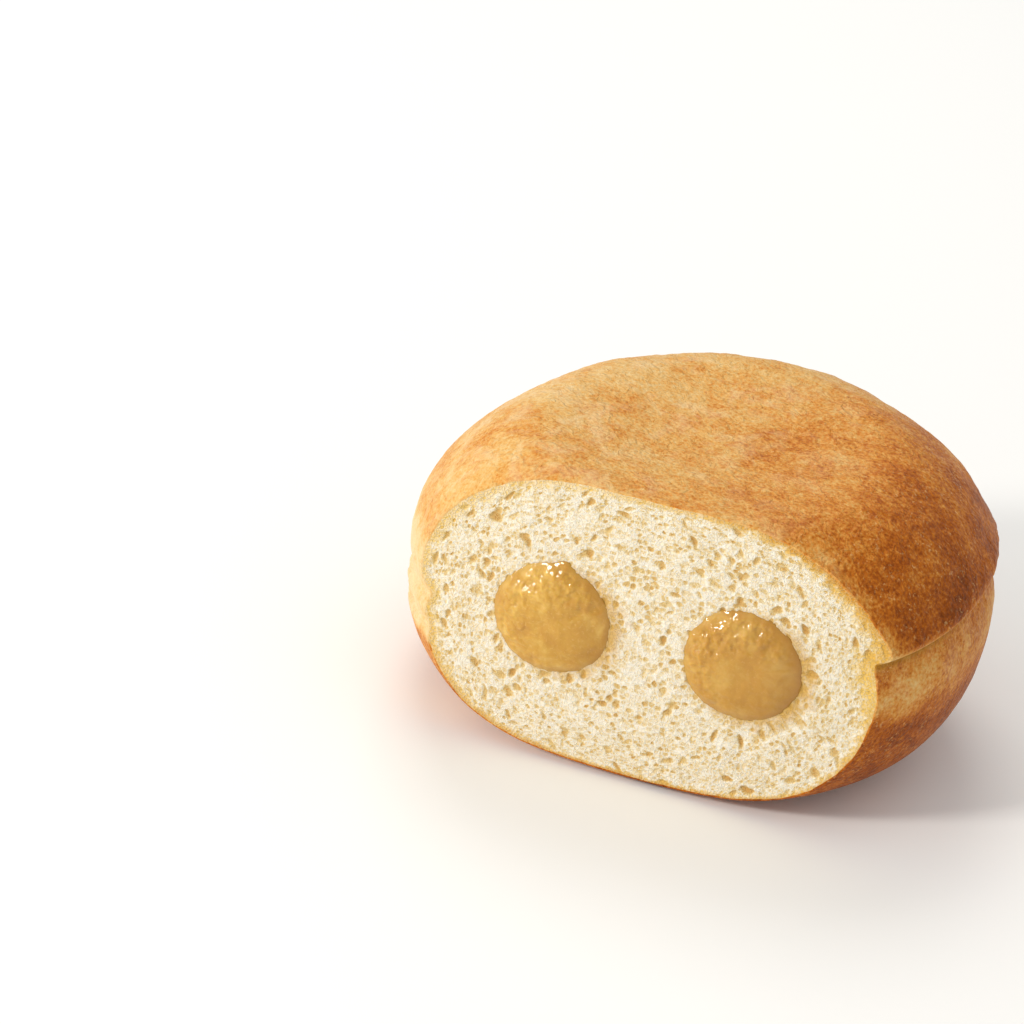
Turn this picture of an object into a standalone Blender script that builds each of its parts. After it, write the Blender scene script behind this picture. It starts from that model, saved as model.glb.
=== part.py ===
"""A yeast-raised filled beignet with a slice cut off its front, so that its crumb and two fillings show.

Frame: metres, +Z up, origin under the middle of the bounding box, at the level the beignet rests on.
The cut face looks along -Y. +X runs along the cut, to the right as seen from the front.
The beignet is first made round its own frying axis, and an empty then puts that axis in its place.
"""

import math
import random

import bmesh
import bpy
from mathutils import Matrix, Vector, noise

# Where the round beignet's own axis stands in the part's frame
AXIS_PLACE = Vector((-0.0019, -0.0093, 0.0))

# The turned outline, as radius and height, from the rim of the flat foot to the shallow dip on top
FOOT_RADIUS = 0.020
OUTLINE = [
    (FOOT_RADIUS, 0.0),
    (0.0280, 0.0008),
    (0.0350, 0.0027),
    (0.0412, 0.0075),
    (0.0450, 0.0148),
    (0.0462, 0.0240),
    (0.0462, 0.0316),
    (0.0428, 0.0398),
    (0.0369, 0.0463),
    (0.0292, 0.0502),
    (0.0200, 0.0504),
    (0.0100, 0.0497),
    (0.0, 0.0496),
]
STEPS_PER_SPAN = 3
RING_SPACING = 0.0012
AZIMUTH_STEPS = 84
MERGE_DISTANCE = 1e-6

# How far from round it is: shares of the radius, for the upper shell and for the lower one
MIDDLE_HEIGHT = 0.025
UPPER_SHIFT, UPPER_SHIFT_BACK, UPPER_OVAL, UPPER_OVAL_SKEW = 0.084, -0.037, -0.016, 0.044
LOWER_SHIFT, LOWER_SHIFT_BACK, LOWER_OVAL, LOWER_OVAL_SKEW = 0.020, 0.057, 0.024, 0.0
BLEND_START, BLEND_SPAN = -0.35, 0.9

# The pale waist, where the two fried shells meet in a crease that runs higher on the right
CREASE_HEIGHT = 0.0285
CREASE_TILT = 0.0055
CREASE_WANDER = 0.0006
WANDER_WAVES = [(3, 1.0, 1.0), (5, 0.4, 0.6)]
CREASE_REACH_DOWN, CREASE_REACH_UP = 0.024, 0.021
LIP_AZIMUTH, LIP_SPREAD = math.radians(-20.0), 0.75
LIP_DENT, LIP_ABOVE, LIP_BELOW = 0.0021, 0.0011, 0.0050
SOFT_DENT, SOFT_ABOVE, SOFT_BELOW = 0.0012, 0.0017, 0.0021
LIP_SWELL, LIP_SWELL_RISE, LIP_SWELL_REACH = 0.0007, 0.0028, 0.0030
DENT_CHANGE = 0.3
DENT_WAVES = [(1, 0.6, 0.5), (5, 0.6, 0.5)]
FOLD_DROP, FOLD_DENT, FOLD_REACH = 0.0062, 0.0006, 0.0016
FOLD_WAVES = [(4, 0.5, 1.0)]
CREASE_RINGS = [
    -0.0086, -0.0072, -0.0060, -0.0046, -0.0030, -0.0016, -0.0006, 0.0004, 0.0013, 0.0026, 0.0046,
]

# Slow swells in the skin, as dough rises unevenly
SWELL_HEIGHT = 0.0004
SWELL_LENGTH = 0.015
SWELL_START = 0.006

# The knife cut, and the two fillings that it shows
CUT_DISTANCE = 0.0267
FILLING_CENTRES = {"filling_left": (-0.0145, 0.0255), "filling_right": (0.0164, 0.0262)}
FILLING_RADIUS = 0.0095
FILLING_FLATTEN = 0.98
FILLING_LENGTH = 0.040
FILLING_BULGE = 0.0014
FILLING_BELLY = 0.0005
FILLING_LUMP_HEIGHT = 0.0004
FILLING_LUMP_LENGTH = 0.006
FILLING_SIDES = 32
FILLING_END_STEPS = 5
FILLING_WALL_STEPS = 7
FILLING_FRONT_STEPS = 4
POCKET_GAP = 0.0003
POCKET_OVERRUN = 0.004

# The largest bubbles of the crumb, opened by the knife
BUBBLE_SEED = 11
BUBBLE_COUNT = 64
BUBBLE_SMALLEST, BUBBLE_LARGEST = 0.0007, 0.0014
BUBBLE_STRETCH = 1.45
BUBBLE_LEAN = 0.5
BUBBLE_DEPTH_SHARE = 0.25
BUBBLE_SPACING = 0.0007
SECTION_CENTRE = (0.0018, 0.0262)
SECTION_HALF_WIDTH, SECTION_HALF_HEIGHT = 0.0345, 0.0222
SECTION_POWER = 2.7
SECTION_SHARE = 0.9


def clear_scene():
    for thing in list(bpy.data.objects):
        bpy.data.objects.remove(thing, do_unlink=True)


def surface_material(name, colour, roughness):
    material = bpy.data.materials.new(name)
    material.use_nodes = True
    shader = material.node_tree.nodes["Principled BSDF"]
    shader.inputs["Base Color"].default_value = (*colour, 1.0)
    shader.inputs["Roughness"].default_value = roughness
    shader.inputs["Metallic"].default_value = 0.0
    return material


def smooth_step(value):
    value = min(max(value, 0.0), 1.0)
    return value * value * (3.0 - 2.0 * value)


def waves(azimuth, table):
    """A sum of sine waves round the beignet, each given by its count, its phase and its share."""
    return sum(share * math.sin(count * azimuth + phase) for count, phase, share in table)


def smooth_curve(points, steps):
    """Points along a Catmull-Rom curve through the given ones, the first and last included."""
    first = (2.0 * points[0][0] - points[1][0], points[0][1])
    last = (-points[-2][0], points[-2][1])
    padded = [Vector(p) for p in [first, *points, last]]
    curve = []
    for before, start, end, after in zip(padded, padded[1:], padded[2:], padded[3:]):
        for step in range(steps):
            t = step / steps
            curve.append(
                0.5
                * (
                    2.0 * start
                    + (end - before) * t
                    + (2.0 * before - 5.0 * start + 4.0 * end - after) * t * t
                    + (3.0 * start - 3.0 * end + after - before) * t**3
                )
            )
    curve.append(padded[-2])
    return curve


def side_radius(curve, height):
    """The outline's radius at a height on its side, below the brow of the top."""
    for low, high in zip(curve, curve[1:]):
        if low.y <= height < high.y:
            share = (height - low.y) / (high.y - low.y)
            return low.x + share * (high.x - low.x)
    return curve[0].x


def body_outline():
    """The outline with extra rings close to the crease, sorted from the foot to the top."""
    curve = smooth_curve(OUTLINE, STEPS_PER_SPAN)
    low, high = CREASE_HEIGHT + CREASE_RINGS[0], CREASE_HEIGHT + CREASE_RINGS[-1]
    lower = [p for p in curve if p.y < low - RING_SPACING]
    upper = [p for p in curve if p.y > high + RING_SPACING]
    rings = []
    for offset in CREASE_RINGS:
        height = CREASE_HEIGHT + offset
        rings.append(Vector((side_radius(curve, height), height)))
    return lower + rings + upper


def uneven_share(azimuth, lift):
    """How far from round the beignet is; lift is 0 in the lower shell and 1 in the upper one."""
    upper = (
        UPPER_SHIFT * math.cos(azimuth)
        + UPPER_SHIFT_BACK * math.sin(azimuth)
        + UPPER_OVAL * math.cos(2.0 * azimuth)
        + UPPER_OVAL_SKEW * math.sin(2.0 * azimuth)
    )
    lower = (
        LOWER_SHIFT * math.cos(azimuth)
        + LOWER_SHIFT_BACK * math.sin(azimuth)
        + LOWER_OVAL * math.cos(2.0 * azimuth)
        + LOWER_OVAL_SKEW * math.sin(2.0 * azimuth)
    )
    return 1.0 + lower + (upper - lower) * lift


def crease_dent(azimuth, offset):
    """How deep the waist lies in, offset above the crease: a lip on the right, soft folds elsewhere."""
    lip_share = smooth_step(0.5 + LIP_SPREAD * math.cos(azimuth - LIP_AZIMUTH))
    depth = SOFT_DENT + (LIP_DENT - SOFT_DENT) * lip_share
    above = SOFT_ABOVE + (LIP_ABOVE - SOFT_ABOVE) * lip_share
    below = SOFT_BELOW + (LIP_BELOW - SOFT_BELOW) * lip_share
    reach = above if offset > 0.0 else below
    change = 1.0 + DENT_CHANGE * waves(azimuth, DENT_WAVES)
    fold = FOLD_DENT * (1.0 - lip_share) * (1.0 + waves(azimuth, FOLD_WAVES))
    fold_offset = (offset + FOLD_DROP) / FOLD_REACH
    lip_offset = (offset - LIP_SWELL_RISE) / LIP_SWELL_REACH
    dent = depth * change * math.exp(-((offset / reach) ** 2)) + fold * math.exp(-(fold_offset**2))
    return dent - LIP_SWELL * lip_share * math.exp(-(lip_offset**2))


def crease_rise(azimuth, offset):
    """How far the skin is pulled up with the crease, less and less with its offset from it."""
    pull = CREASE_TILT * math.cos(azimuth) + CREASE_WANDER * waves(azimuth, WANDER_WAVES)
    reach = CREASE_REACH_UP if offset > 0.0 else CREASE_REACH_DOWN
    return pull * (1.0 - smooth_step(abs(offset) / reach))


def uneven_point(point, curve):
    """Moves a point of the perfectly turned beignet to its place on the real, uneven one."""
    radius, height = math.hypot(point.x, point.y), point.z
    if radius < MERGE_DISTANCE:
        return point
    azimuth = math.atan2(point.y, point.x)
    offset = height - CREASE_HEIGHT
    rise = crease_rise(azimuth, offset)
    new_height = height + rise
    new_radius = side_radius(curve, new_height) if abs(rise) > MERGE_DISTANCE else radius
    from_middle = new_height - MIDDLE_HEIGHT
    lift = smooth_step((from_middle / math.hypot(new_radius, from_middle) - BLEND_START) / BLEND_SPAN)
    new_radius = new_radius * uneven_share(azimuth, lift) - crease_dent(azimuth, offset)
    above_foot = smooth_step(height / SWELL_START)
    swell = SWELL_HEIGHT * noise.noise(point / SWELL_LENGTH) * above_foot
    scale = (new_radius + swell) / radius
    return Vector((point.x * scale, point.y * scale, new_height + swell))


def turned(profile, axis, steps):
    """A mesh turned full circle round an axis through the origin, from a profile of points."""
    bm = bmesh.new()
    verts = [bm.verts.new(point) for point in profile]
    edges = [bm.edges.new(pair) for pair in zip(verts, verts[1:])]
    bmesh.ops.spin(
        bm,
        geom=verts + edges,
        cent=(0.0, 0.0, 0.0),
        axis=axis,
        angle=2.0 * math.pi,
        steps=steps,
        use_merge=True,
        use_duplicate=False,
    )
    bmesh.ops.remove_doubles(bm, verts=bm.verts, dist=MERGE_DISTANCE)
    return bm


def object_from(bm, name, materials):
    """Puts a finished mesh into the scene under its name, and frees the working copy."""
    mesh = bpy.data.meshes.new(name)
    bm.to_mesh(mesh)
    bm.free()
    for material in materials:
        mesh.materials.append(material)
    thing = bpy.data.objects.new(name, mesh)
    bpy.context.scene.collection.objects.link(thing)
    return thing


def make_dough(crust, crumb):
    """The whole beignet turned round its axis, made uneven, and cut by the knife."""
    profile = [(0.0, 0.0, 0.0)] + [(p.x, 0.0, p.y) for p in body_outline()]
    bm = turned(profile, (0.0, 0.0, 1.0), AZIMUTH_STEPS)
    curve = smooth_curve(OUTLINE, STEPS_PER_SPAN)
    for vert in bm.verts:
        vert.co = uneven_point(vert.co, curve)
    bmesh.ops.recalc_face_normals(bm, faces=bm.faces)
    cut = bmesh.ops.bisect_plane(
        bm,
        geom=bm.verts[:] + bm.edges[:] + bm.faces[:],
        plane_co=(0.0, -CUT_DISTANCE, 0.0),
        plane_no=(0.0, -1.0, 0.0),
        clear_outer=True,
    )
    rim = [item for item in cut["geom_cut"] if isinstance(item, bmesh.types.BMEdge)]
    for face in bm.faces:
        face.smooth = True
    for face in bmesh.ops.edgeloop_fill(bm, edges=rim)["faces"]:
        face.material_index = 1
        face.smooth = False
    bmesh.ops.recalc_face_normals(bm, faces=bm.faces)
    return object_from(bm, "dough", [crust, crumb])


def filling_profile(gap, overrun):
    """Radius and distance behind the cut of a filling or of its pocket, from the front to the round end."""
    radius = FILLING_RADIUS + gap
    straight = FILLING_LENGTH - FILLING_RADIUS
    if overrun:
        profile = [(0.0, -overrun), (radius, -overrun), (radius, -0.5 * overrun)]
    else:
        profile = []
        for step in range(FILLING_FRONT_STEPS):
            turn = 0.5 * math.pi * step / FILLING_FRONT_STEPS
            profile.append((radius * math.sin(turn), -FILLING_BULGE * math.cos(turn)))
        profile.append((radius, 0.0))
    for step in range(1, FILLING_WALL_STEPS):
        share = step / FILLING_WALL_STEPS
        profile.append((radius + FILLING_BELLY * math.sin(math.pi * share), straight * share))
    for step in range(FILLING_END_STEPS + 1):
        turn = 0.5 * math.pi * step / FILLING_END_STEPS
        profile.append((radius * math.cos(turn), straight + radius * math.sin(turn)))
    return profile


def filling_body(name, centre, gap, overrun, material):
    """One filling, or with a gap and an overrun the pocket that it fills, lying along +Y from the cut."""
    profile = [(r, y, 0.0) for r, y in filling_profile(gap, overrun)]
    bm = turned(profile, (0.0, 1.0, 0.0), FILLING_SIDES)
    own_lumps = Vector((centre[0], 0.0, centre[1])) / FILLING_LUMP_LENGTH
    for vert in bm.verts:
        across = math.hypot(vert.co.x, vert.co.z)
        if across < MERGE_DISTANCE:
            continue
        wall = Vector((vert.co.x / across * FILLING_RADIUS, vert.co.y, vert.co.z / across * FILLING_RADIUS))
        lump = FILLING_LUMP_HEIGHT * noise.noise(wall / FILLING_LUMP_LENGTH + own_lumps)
        widen = 1.0 + lump / FILLING_RADIUS
        vert.co.x *= widen
        vert.co.z *= widen * FILLING_FLATTEN
    bmesh.ops.recalc_face_normals(bm, faces=bm.faces)
    for face in bm.faces:
        face.smooth = True
    body = object_from(bm, name, [material])
    body.location = (centre[0], -CUT_DISTANCE, centre[1])
    return body


def bubble_places():
    """Centre, radius and lean of each large bubble, clear of the others, the fillings and the crust."""
    draw = random.Random(BUBBLE_SEED)
    kept = []
    while len(kept) < BUBBLE_COUNT:
        radius = BUBBLE_SMALLEST + (BUBBLE_LARGEST - BUBBLE_SMALLEST) * draw.random() ** 2
        across, up = draw.uniform(-1.0, 1.0), draw.uniform(-1.0, 1.0)
        if abs(across) ** SECTION_POWER + abs(up) ** SECTION_POWER > SECTION_SHARE:
            continue
        x = SECTION_CENTRE[0] + across * SECTION_HALF_WIDTH
        z = SECTION_CENTRE[1] + up * SECTION_HALF_HEIGHT
        reach = radius * BUBBLE_STRETCH + BUBBLE_SPACING
        near_filling = any(
            math.hypot(x - cx, z - cz) < FILLING_RADIUS + reach + BUBBLE_SPACING
            for cx, cz in FILLING_CENTRES.values()
        )
        near_bubble = any(
            math.hypot(x - other[0], z - other[1]) < reach + other[2] * BUBBLE_STRETCH for other in kept
        )
        if not near_filling and not near_bubble:
            lean = math.atan2(across, -up) + draw.uniform(-BUBBLE_LEAN, BUBBLE_LEAN)
            kept.append((x, z, radius, lean))
    return kept


def make_bubbles(crumb):
    """One cutter with every large bubble, each an egg shape whose long way follows the crust beside it."""
    bm = bmesh.new()
    for x, z, radius, lean in bubble_places():
        place = (
            Matrix.Translation((x, -CUT_DISTANCE + radius * BUBBLE_DEPTH_SHARE, z))
            @ Matrix.Rotation(-lean, 4, "Y")
            @ Matrix.Diagonal((BUBBLE_STRETCH, 1.0, 1.0, 1.0))
        )
        bmesh.ops.create_icosphere(bm, subdivisions=1, radius=radius, matrix=place)
    return object_from(bm, "crumb_bubbles", [crumb])


def subtract(target, cutter):
    """Cuts one object out of another, and keeps the cutter as a wire guide."""
    cutter.hide_render = True
    cutter.display_type = "WIRE"
    boolean = target.modifiers.new(f"minus_{cutter.name}", "BOOLEAN")
    boolean.operation = "DIFFERENCE"
    boolean.solver = "EXACT"
    boolean.object = cutter


def main():
    clear_scene()
    crust = surface_material("fried_crust", (0.48, 0.20, 0.055), 0.5)
    crumb = surface_material("open_crumb", (0.85, 0.72, 0.45), 0.9)
    compote = surface_material("fruit_compote", (0.60, 0.36, 0.10), 0.2)
    place = bpy.data.objects.new("beignet_axis", None)
    place.location = AXIS_PLACE
    bpy.context.scene.collection.objects.link(place)

    dough = make_dough(crust, crumb)
    bubbles = make_bubbles(crumb)
    made = [dough, bubbles]
    for name, centre in FILLING_CENTRES.items():
        filling = filling_body(name, centre, 0.0, 0.0, compote)
        pocket = filling_body(f"pocket_of_{name}", centre, POCKET_GAP, POCKET_OVERRUN, crumb)
        subtract(dough, pocket)
        made += [filling, pocket]
    subtract(dough, bubbles)
    for thing in made:
        thing.parent = place


main()
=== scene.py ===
"""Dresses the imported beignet: fried crust, open crumb and wet fruit filling, on a plain pale floor.

Every size is in metres unless its name says otherwise. X runs along the cut, -Y looks out of the cut
face, and Z is up. The form repeats the driving sizes of the part's source, at a finer grain.
"""

import logging
import math
import random
from dataclasses import astuple, dataclass, field
from enum import Enum
from functools import partial
from typing import Callable

import bmesh
import bpy
import numpy as np
from mathutils import Matrix, Vector, kdtree, noise


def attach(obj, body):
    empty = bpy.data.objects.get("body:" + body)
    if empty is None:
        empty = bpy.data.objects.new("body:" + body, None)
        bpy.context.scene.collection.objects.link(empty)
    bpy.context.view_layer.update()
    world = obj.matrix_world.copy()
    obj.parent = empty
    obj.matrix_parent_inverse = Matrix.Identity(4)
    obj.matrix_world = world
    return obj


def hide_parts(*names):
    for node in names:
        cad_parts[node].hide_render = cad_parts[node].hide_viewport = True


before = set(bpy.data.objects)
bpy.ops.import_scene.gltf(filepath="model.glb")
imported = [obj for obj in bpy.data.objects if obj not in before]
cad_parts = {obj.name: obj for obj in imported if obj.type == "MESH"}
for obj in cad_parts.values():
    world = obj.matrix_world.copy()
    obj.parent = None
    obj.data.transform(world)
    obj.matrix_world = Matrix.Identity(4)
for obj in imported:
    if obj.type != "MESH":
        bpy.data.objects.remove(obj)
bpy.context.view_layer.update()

log = logging.getLogger("beignet")

MILLIMETRE = 0.001
TINY = 1e-6
RING_REACH = 4


class Finishing(Enum):
    """The names of the record's material slots; the pieces here take newly made finishes instead."""

    DOUGH = "fried_dough"
    COMPOTE = "fruit_compote"


class Side(Enum):
    """The two fillings, named from the front."""

    LEFT = "left"
    RIGHT = "right"


def linear(hex_colour: str) -> tuple[float, float, float, float]:
    """Turns an sRGB hex colour into a linear one.

    Args:
        hex_colour: Six hex digits, without a mark in front.

    Returns:
        Red, green and blue in linear light, and an alpha of one.
    """
    channels = []
    for start in (0, 2, 4):
        value = int(hex_colour[start : start + 2], 16) / 255.0
        channels.append(value / 12.92 if value <= 0.04045 else ((value + 0.055) / 1.055) ** 2.4)
    return (channels[0], channels[1], channels[2], 1.0)


def feed(node: bpy.types.Node, inputs: dict) -> None:
    """Gives a node's inputs their values and links.

    Args:
        node: The node.
        inputs: For each input, by name or number, a value or the socket that feeds it.
    """
    for name, value in inputs.items():
        if isinstance(value, bpy.types.NodeSocket):
            node.id_data.links.new(value, node.inputs[name])
        else:
            node.inputs[name].default_value = value


def add_node(
    tree: bpy.types.NodeTree,
    kind: str,
    settings: dict | None = None,
    inputs: dict | None = None,
    stops: tuple = (),
    output: int | str = 0,
) -> bpy.types.NodeSocket:
    """Adds a node with its settings and links.

    Args:
        tree: The node tree that takes the node.
        kind: The node's type name, without ShaderNode in front.
        settings: The node's own properties.
        inputs: For each input, by name or number, a value or the socket that feeds it.
        stops: For a colour ramp, its places with their hex colours.
        output: The output that is wanted, by name or number.

    Returns:
        That output.
    """
    node = tree.nodes.new(f"ShaderNode{kind}")
    for name, value in (settings or {}).items():
        setattr(node, name, value)
    feed(node, inputs or {})
    for index, (place, colour) in enumerate(stops):
        elements = node.color_ramp.elements
        element = elements[index] if index < 2 else elements.new(place)
        element.position = place
        element.color = linear(colour)
    return node.outputs[output]


def smooth_step(value: np.ndarray | float) -> np.ndarray:
    """Eases a value from zero to one, and holds it there outside that range."""
    value = np.clip(value, 0.0, 1.0)
    return value * value * (3.0 - 2.0 * value)


def noise_at(points: np.ndarray, length: float, octaves: int = 1) -> np.ndarray:
    """Reads smooth noise at many points.

    Args:
        points: One row of three coordinates for each point.
        length: The size of the noise's largest swells.
        octaves: How many layers, each half the size of the last.

    Returns:
        One value for each point, mostly between -1 and 1.
    """
    scaled = (points / length).tolist()
    if octaves == 1:
        return np.array([noise.noise(Vector(p)) for p in scaled])
    return np.array([noise.fractal(Vector(p), 1.0, 2.0, octaves) for p in scaled])


def waves(azimuth: np.ndarray, table: tuple) -> np.ndarray:
    """Sums sine waves round the beignet.

    Args:
        azimuth: The angles to read at.
        table: For each wave its count, phase and share.

    Returns:
        The sum at each angle.
    """
    total = np.zeros_like(azimuth)
    for count, phase, share in table:
        total = total + share * np.sin(count * azimuth + phase)
    return total


def turned(places: list[tuple[float, float, float]], axis: tuple, steps: int) -> bmesh.types.BMesh:
    """Turns a chain of places round an axis through the origin.

    Args:
        places: The places in order, with both ends on the axis.
        axis: The axis's direction.
        steps: How many steps one turn takes.

    Returns:
        A closed surface.
    """
    bm = bmesh.new()
    chain = [bm.verts.new(place) for place in places]
    edges = [bm.edges.new(pair) for pair in zip(chain, chain[1:])]
    bmesh.ops.spin(
        bm, geom=chain + edges, cent=(0.0, 0.0, 0.0), axis=axis, steps=steps, angle=math.tau, use_merge=True
    )
    bmesh.ops.remove_doubles(bm, verts=bm.verts, dist=TINY)
    return bm


def read_points(bm: bmesh.types.BMesh) -> np.ndarray:
    """Copies a mesh's points into an array of rows."""
    return np.array([vert.co[:] for vert in bm.verts])


def in_plane(x: np.ndarray, z: np.ndarray) -> np.ndarray:
    """Gives places as rows of coordinates in the plane y = 0."""
    return np.stack([x, np.zeros_like(x), z], axis=1)


def flat_ring(ring: list) -> np.ndarray:
    """Gives points as rows of their distance to the right and their height."""
    return np.array([[vert.co.x, vert.co.z] for vert in ring])


def facing(around: np.ndarray, degrees: float) -> np.ndarray:
    """Tells how far each angle points in a direction, from 0 for away from it to 1 for straight to it."""
    return 0.5 + 0.5 * np.cos(around - math.radians(degrees))


def write_points(bm: bmesh.types.BMesh, points: np.ndarray) -> None:
    """Moves a mesh's points to the rows of an array."""
    for vert, row in zip(bm.verts, points.tolist()):
        vert.co = row


def write_layer(bm: bmesh.types.BMesh, name: str, values: np.ndarray) -> None:
    """Stores one number for each point of a mesh.

    Args:
        bm: The mesh.
        name: The attribute's name, which a material reads.
        values: One number for each point.
    """
    layer = bm.verts.layers.float.get(name) or bm.verts.layers.float.new(name)
    for vert, value in zip(bm.verts, values.tolist()):
        vert[layer] = value


def ring_in_order(edges: list[bmesh.types.BMEdge]) -> list[bmesh.types.BMVert]:
    """Puts the points of one closed ring of edges in order.

    Args:
        edges: The ring's edges, in any order.

    Returns:
        The points, each joined to the next by an edge.
    """
    beside: dict[bmesh.types.BMVert, list[bmesh.types.BMVert]] = {}
    for edge in edges:
        first, second = edge.verts
        beside.setdefault(first, []).append(second)
        beside.setdefault(second, []).append(first)
    start = min(beside, key=lambda vert: tuple(vert.co))
    ring = [start]
    last, here = start, min(beside[start], key=lambda vert: tuple(vert.co))
    while here is not start:
        ring.append(here)
        onward = beside[here][0] if beside[here][0] is not last else beside[here][1]
        last, here = here, onward
    return ring


def one_way_round(turns: np.ndarray) -> np.ndarray:
    """Makes the directions of a ring's points run one way round, without two at the same place.

    Args:
        turns: Each point's angle, in the ring's order.

    Returns:
        The angles in order, evened out a little.
    """
    turns = np.unwrap(turns)
    way = 1.0 if turns[-1] > turns[0] else -1.0
    turns = np.sort(turns * way)
    for _ in range(3):
        padded = np.concatenate([[turns[-1] - math.tau], turns, [turns[0] + math.tau]])
        turns = 0.25 * padded[:-2] + 0.5 * padded[1:-1] + 0.25 * padded[2:]
    return turns * way


def inward_of_ring(points: np.ndarray, reach: int) -> np.ndarray:
    """Finds the way towards the inside of a closed outline.

    Args:
        points: The outline's points in order, two coordinates each.
        reach: How many points to each side set the outline's direction.

    Returns:
        A unit vector for each point.
    """
    along = np.roll(points, -reach, axis=0) - np.roll(points, reach, axis=0)
    along = along / np.linalg.norm(along, axis=1)[:, None]
    following = np.roll(points, -1, axis=0)
    area = 0.5 * np.sum(points[:, 0] * following[:, 1] - following[:, 0] * points[:, 1])
    turned = np.stack([-along[:, 1], along[:, 0]], axis=1)
    return turned if area > 0.0 else -turned


def finished_object(
    bm: bmesh.types.BMesh, name: str, material: bpy.types.Material, smooth: bool = True
) -> bpy.types.Object:
    """Puts a finished mesh into the scene at the origin.

    Args:
        bm: The mesh, which is freed.
        name: The piece's name.
        material: Its material.
        smooth: Whether its faces are shaded smooth.

    Returns:
        The new object.
    """
    for face in bm.faces:
        face.smooth = smooth
    mesh = bpy.data.meshes.new(name)
    bm.to_mesh(mesh)
    bm.free()
    mesh.materials.append(material)
    piece = bpy.data.objects.new(name, mesh)
    bpy.context.scene.collection.objects.link(piece)
    return piece


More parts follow.
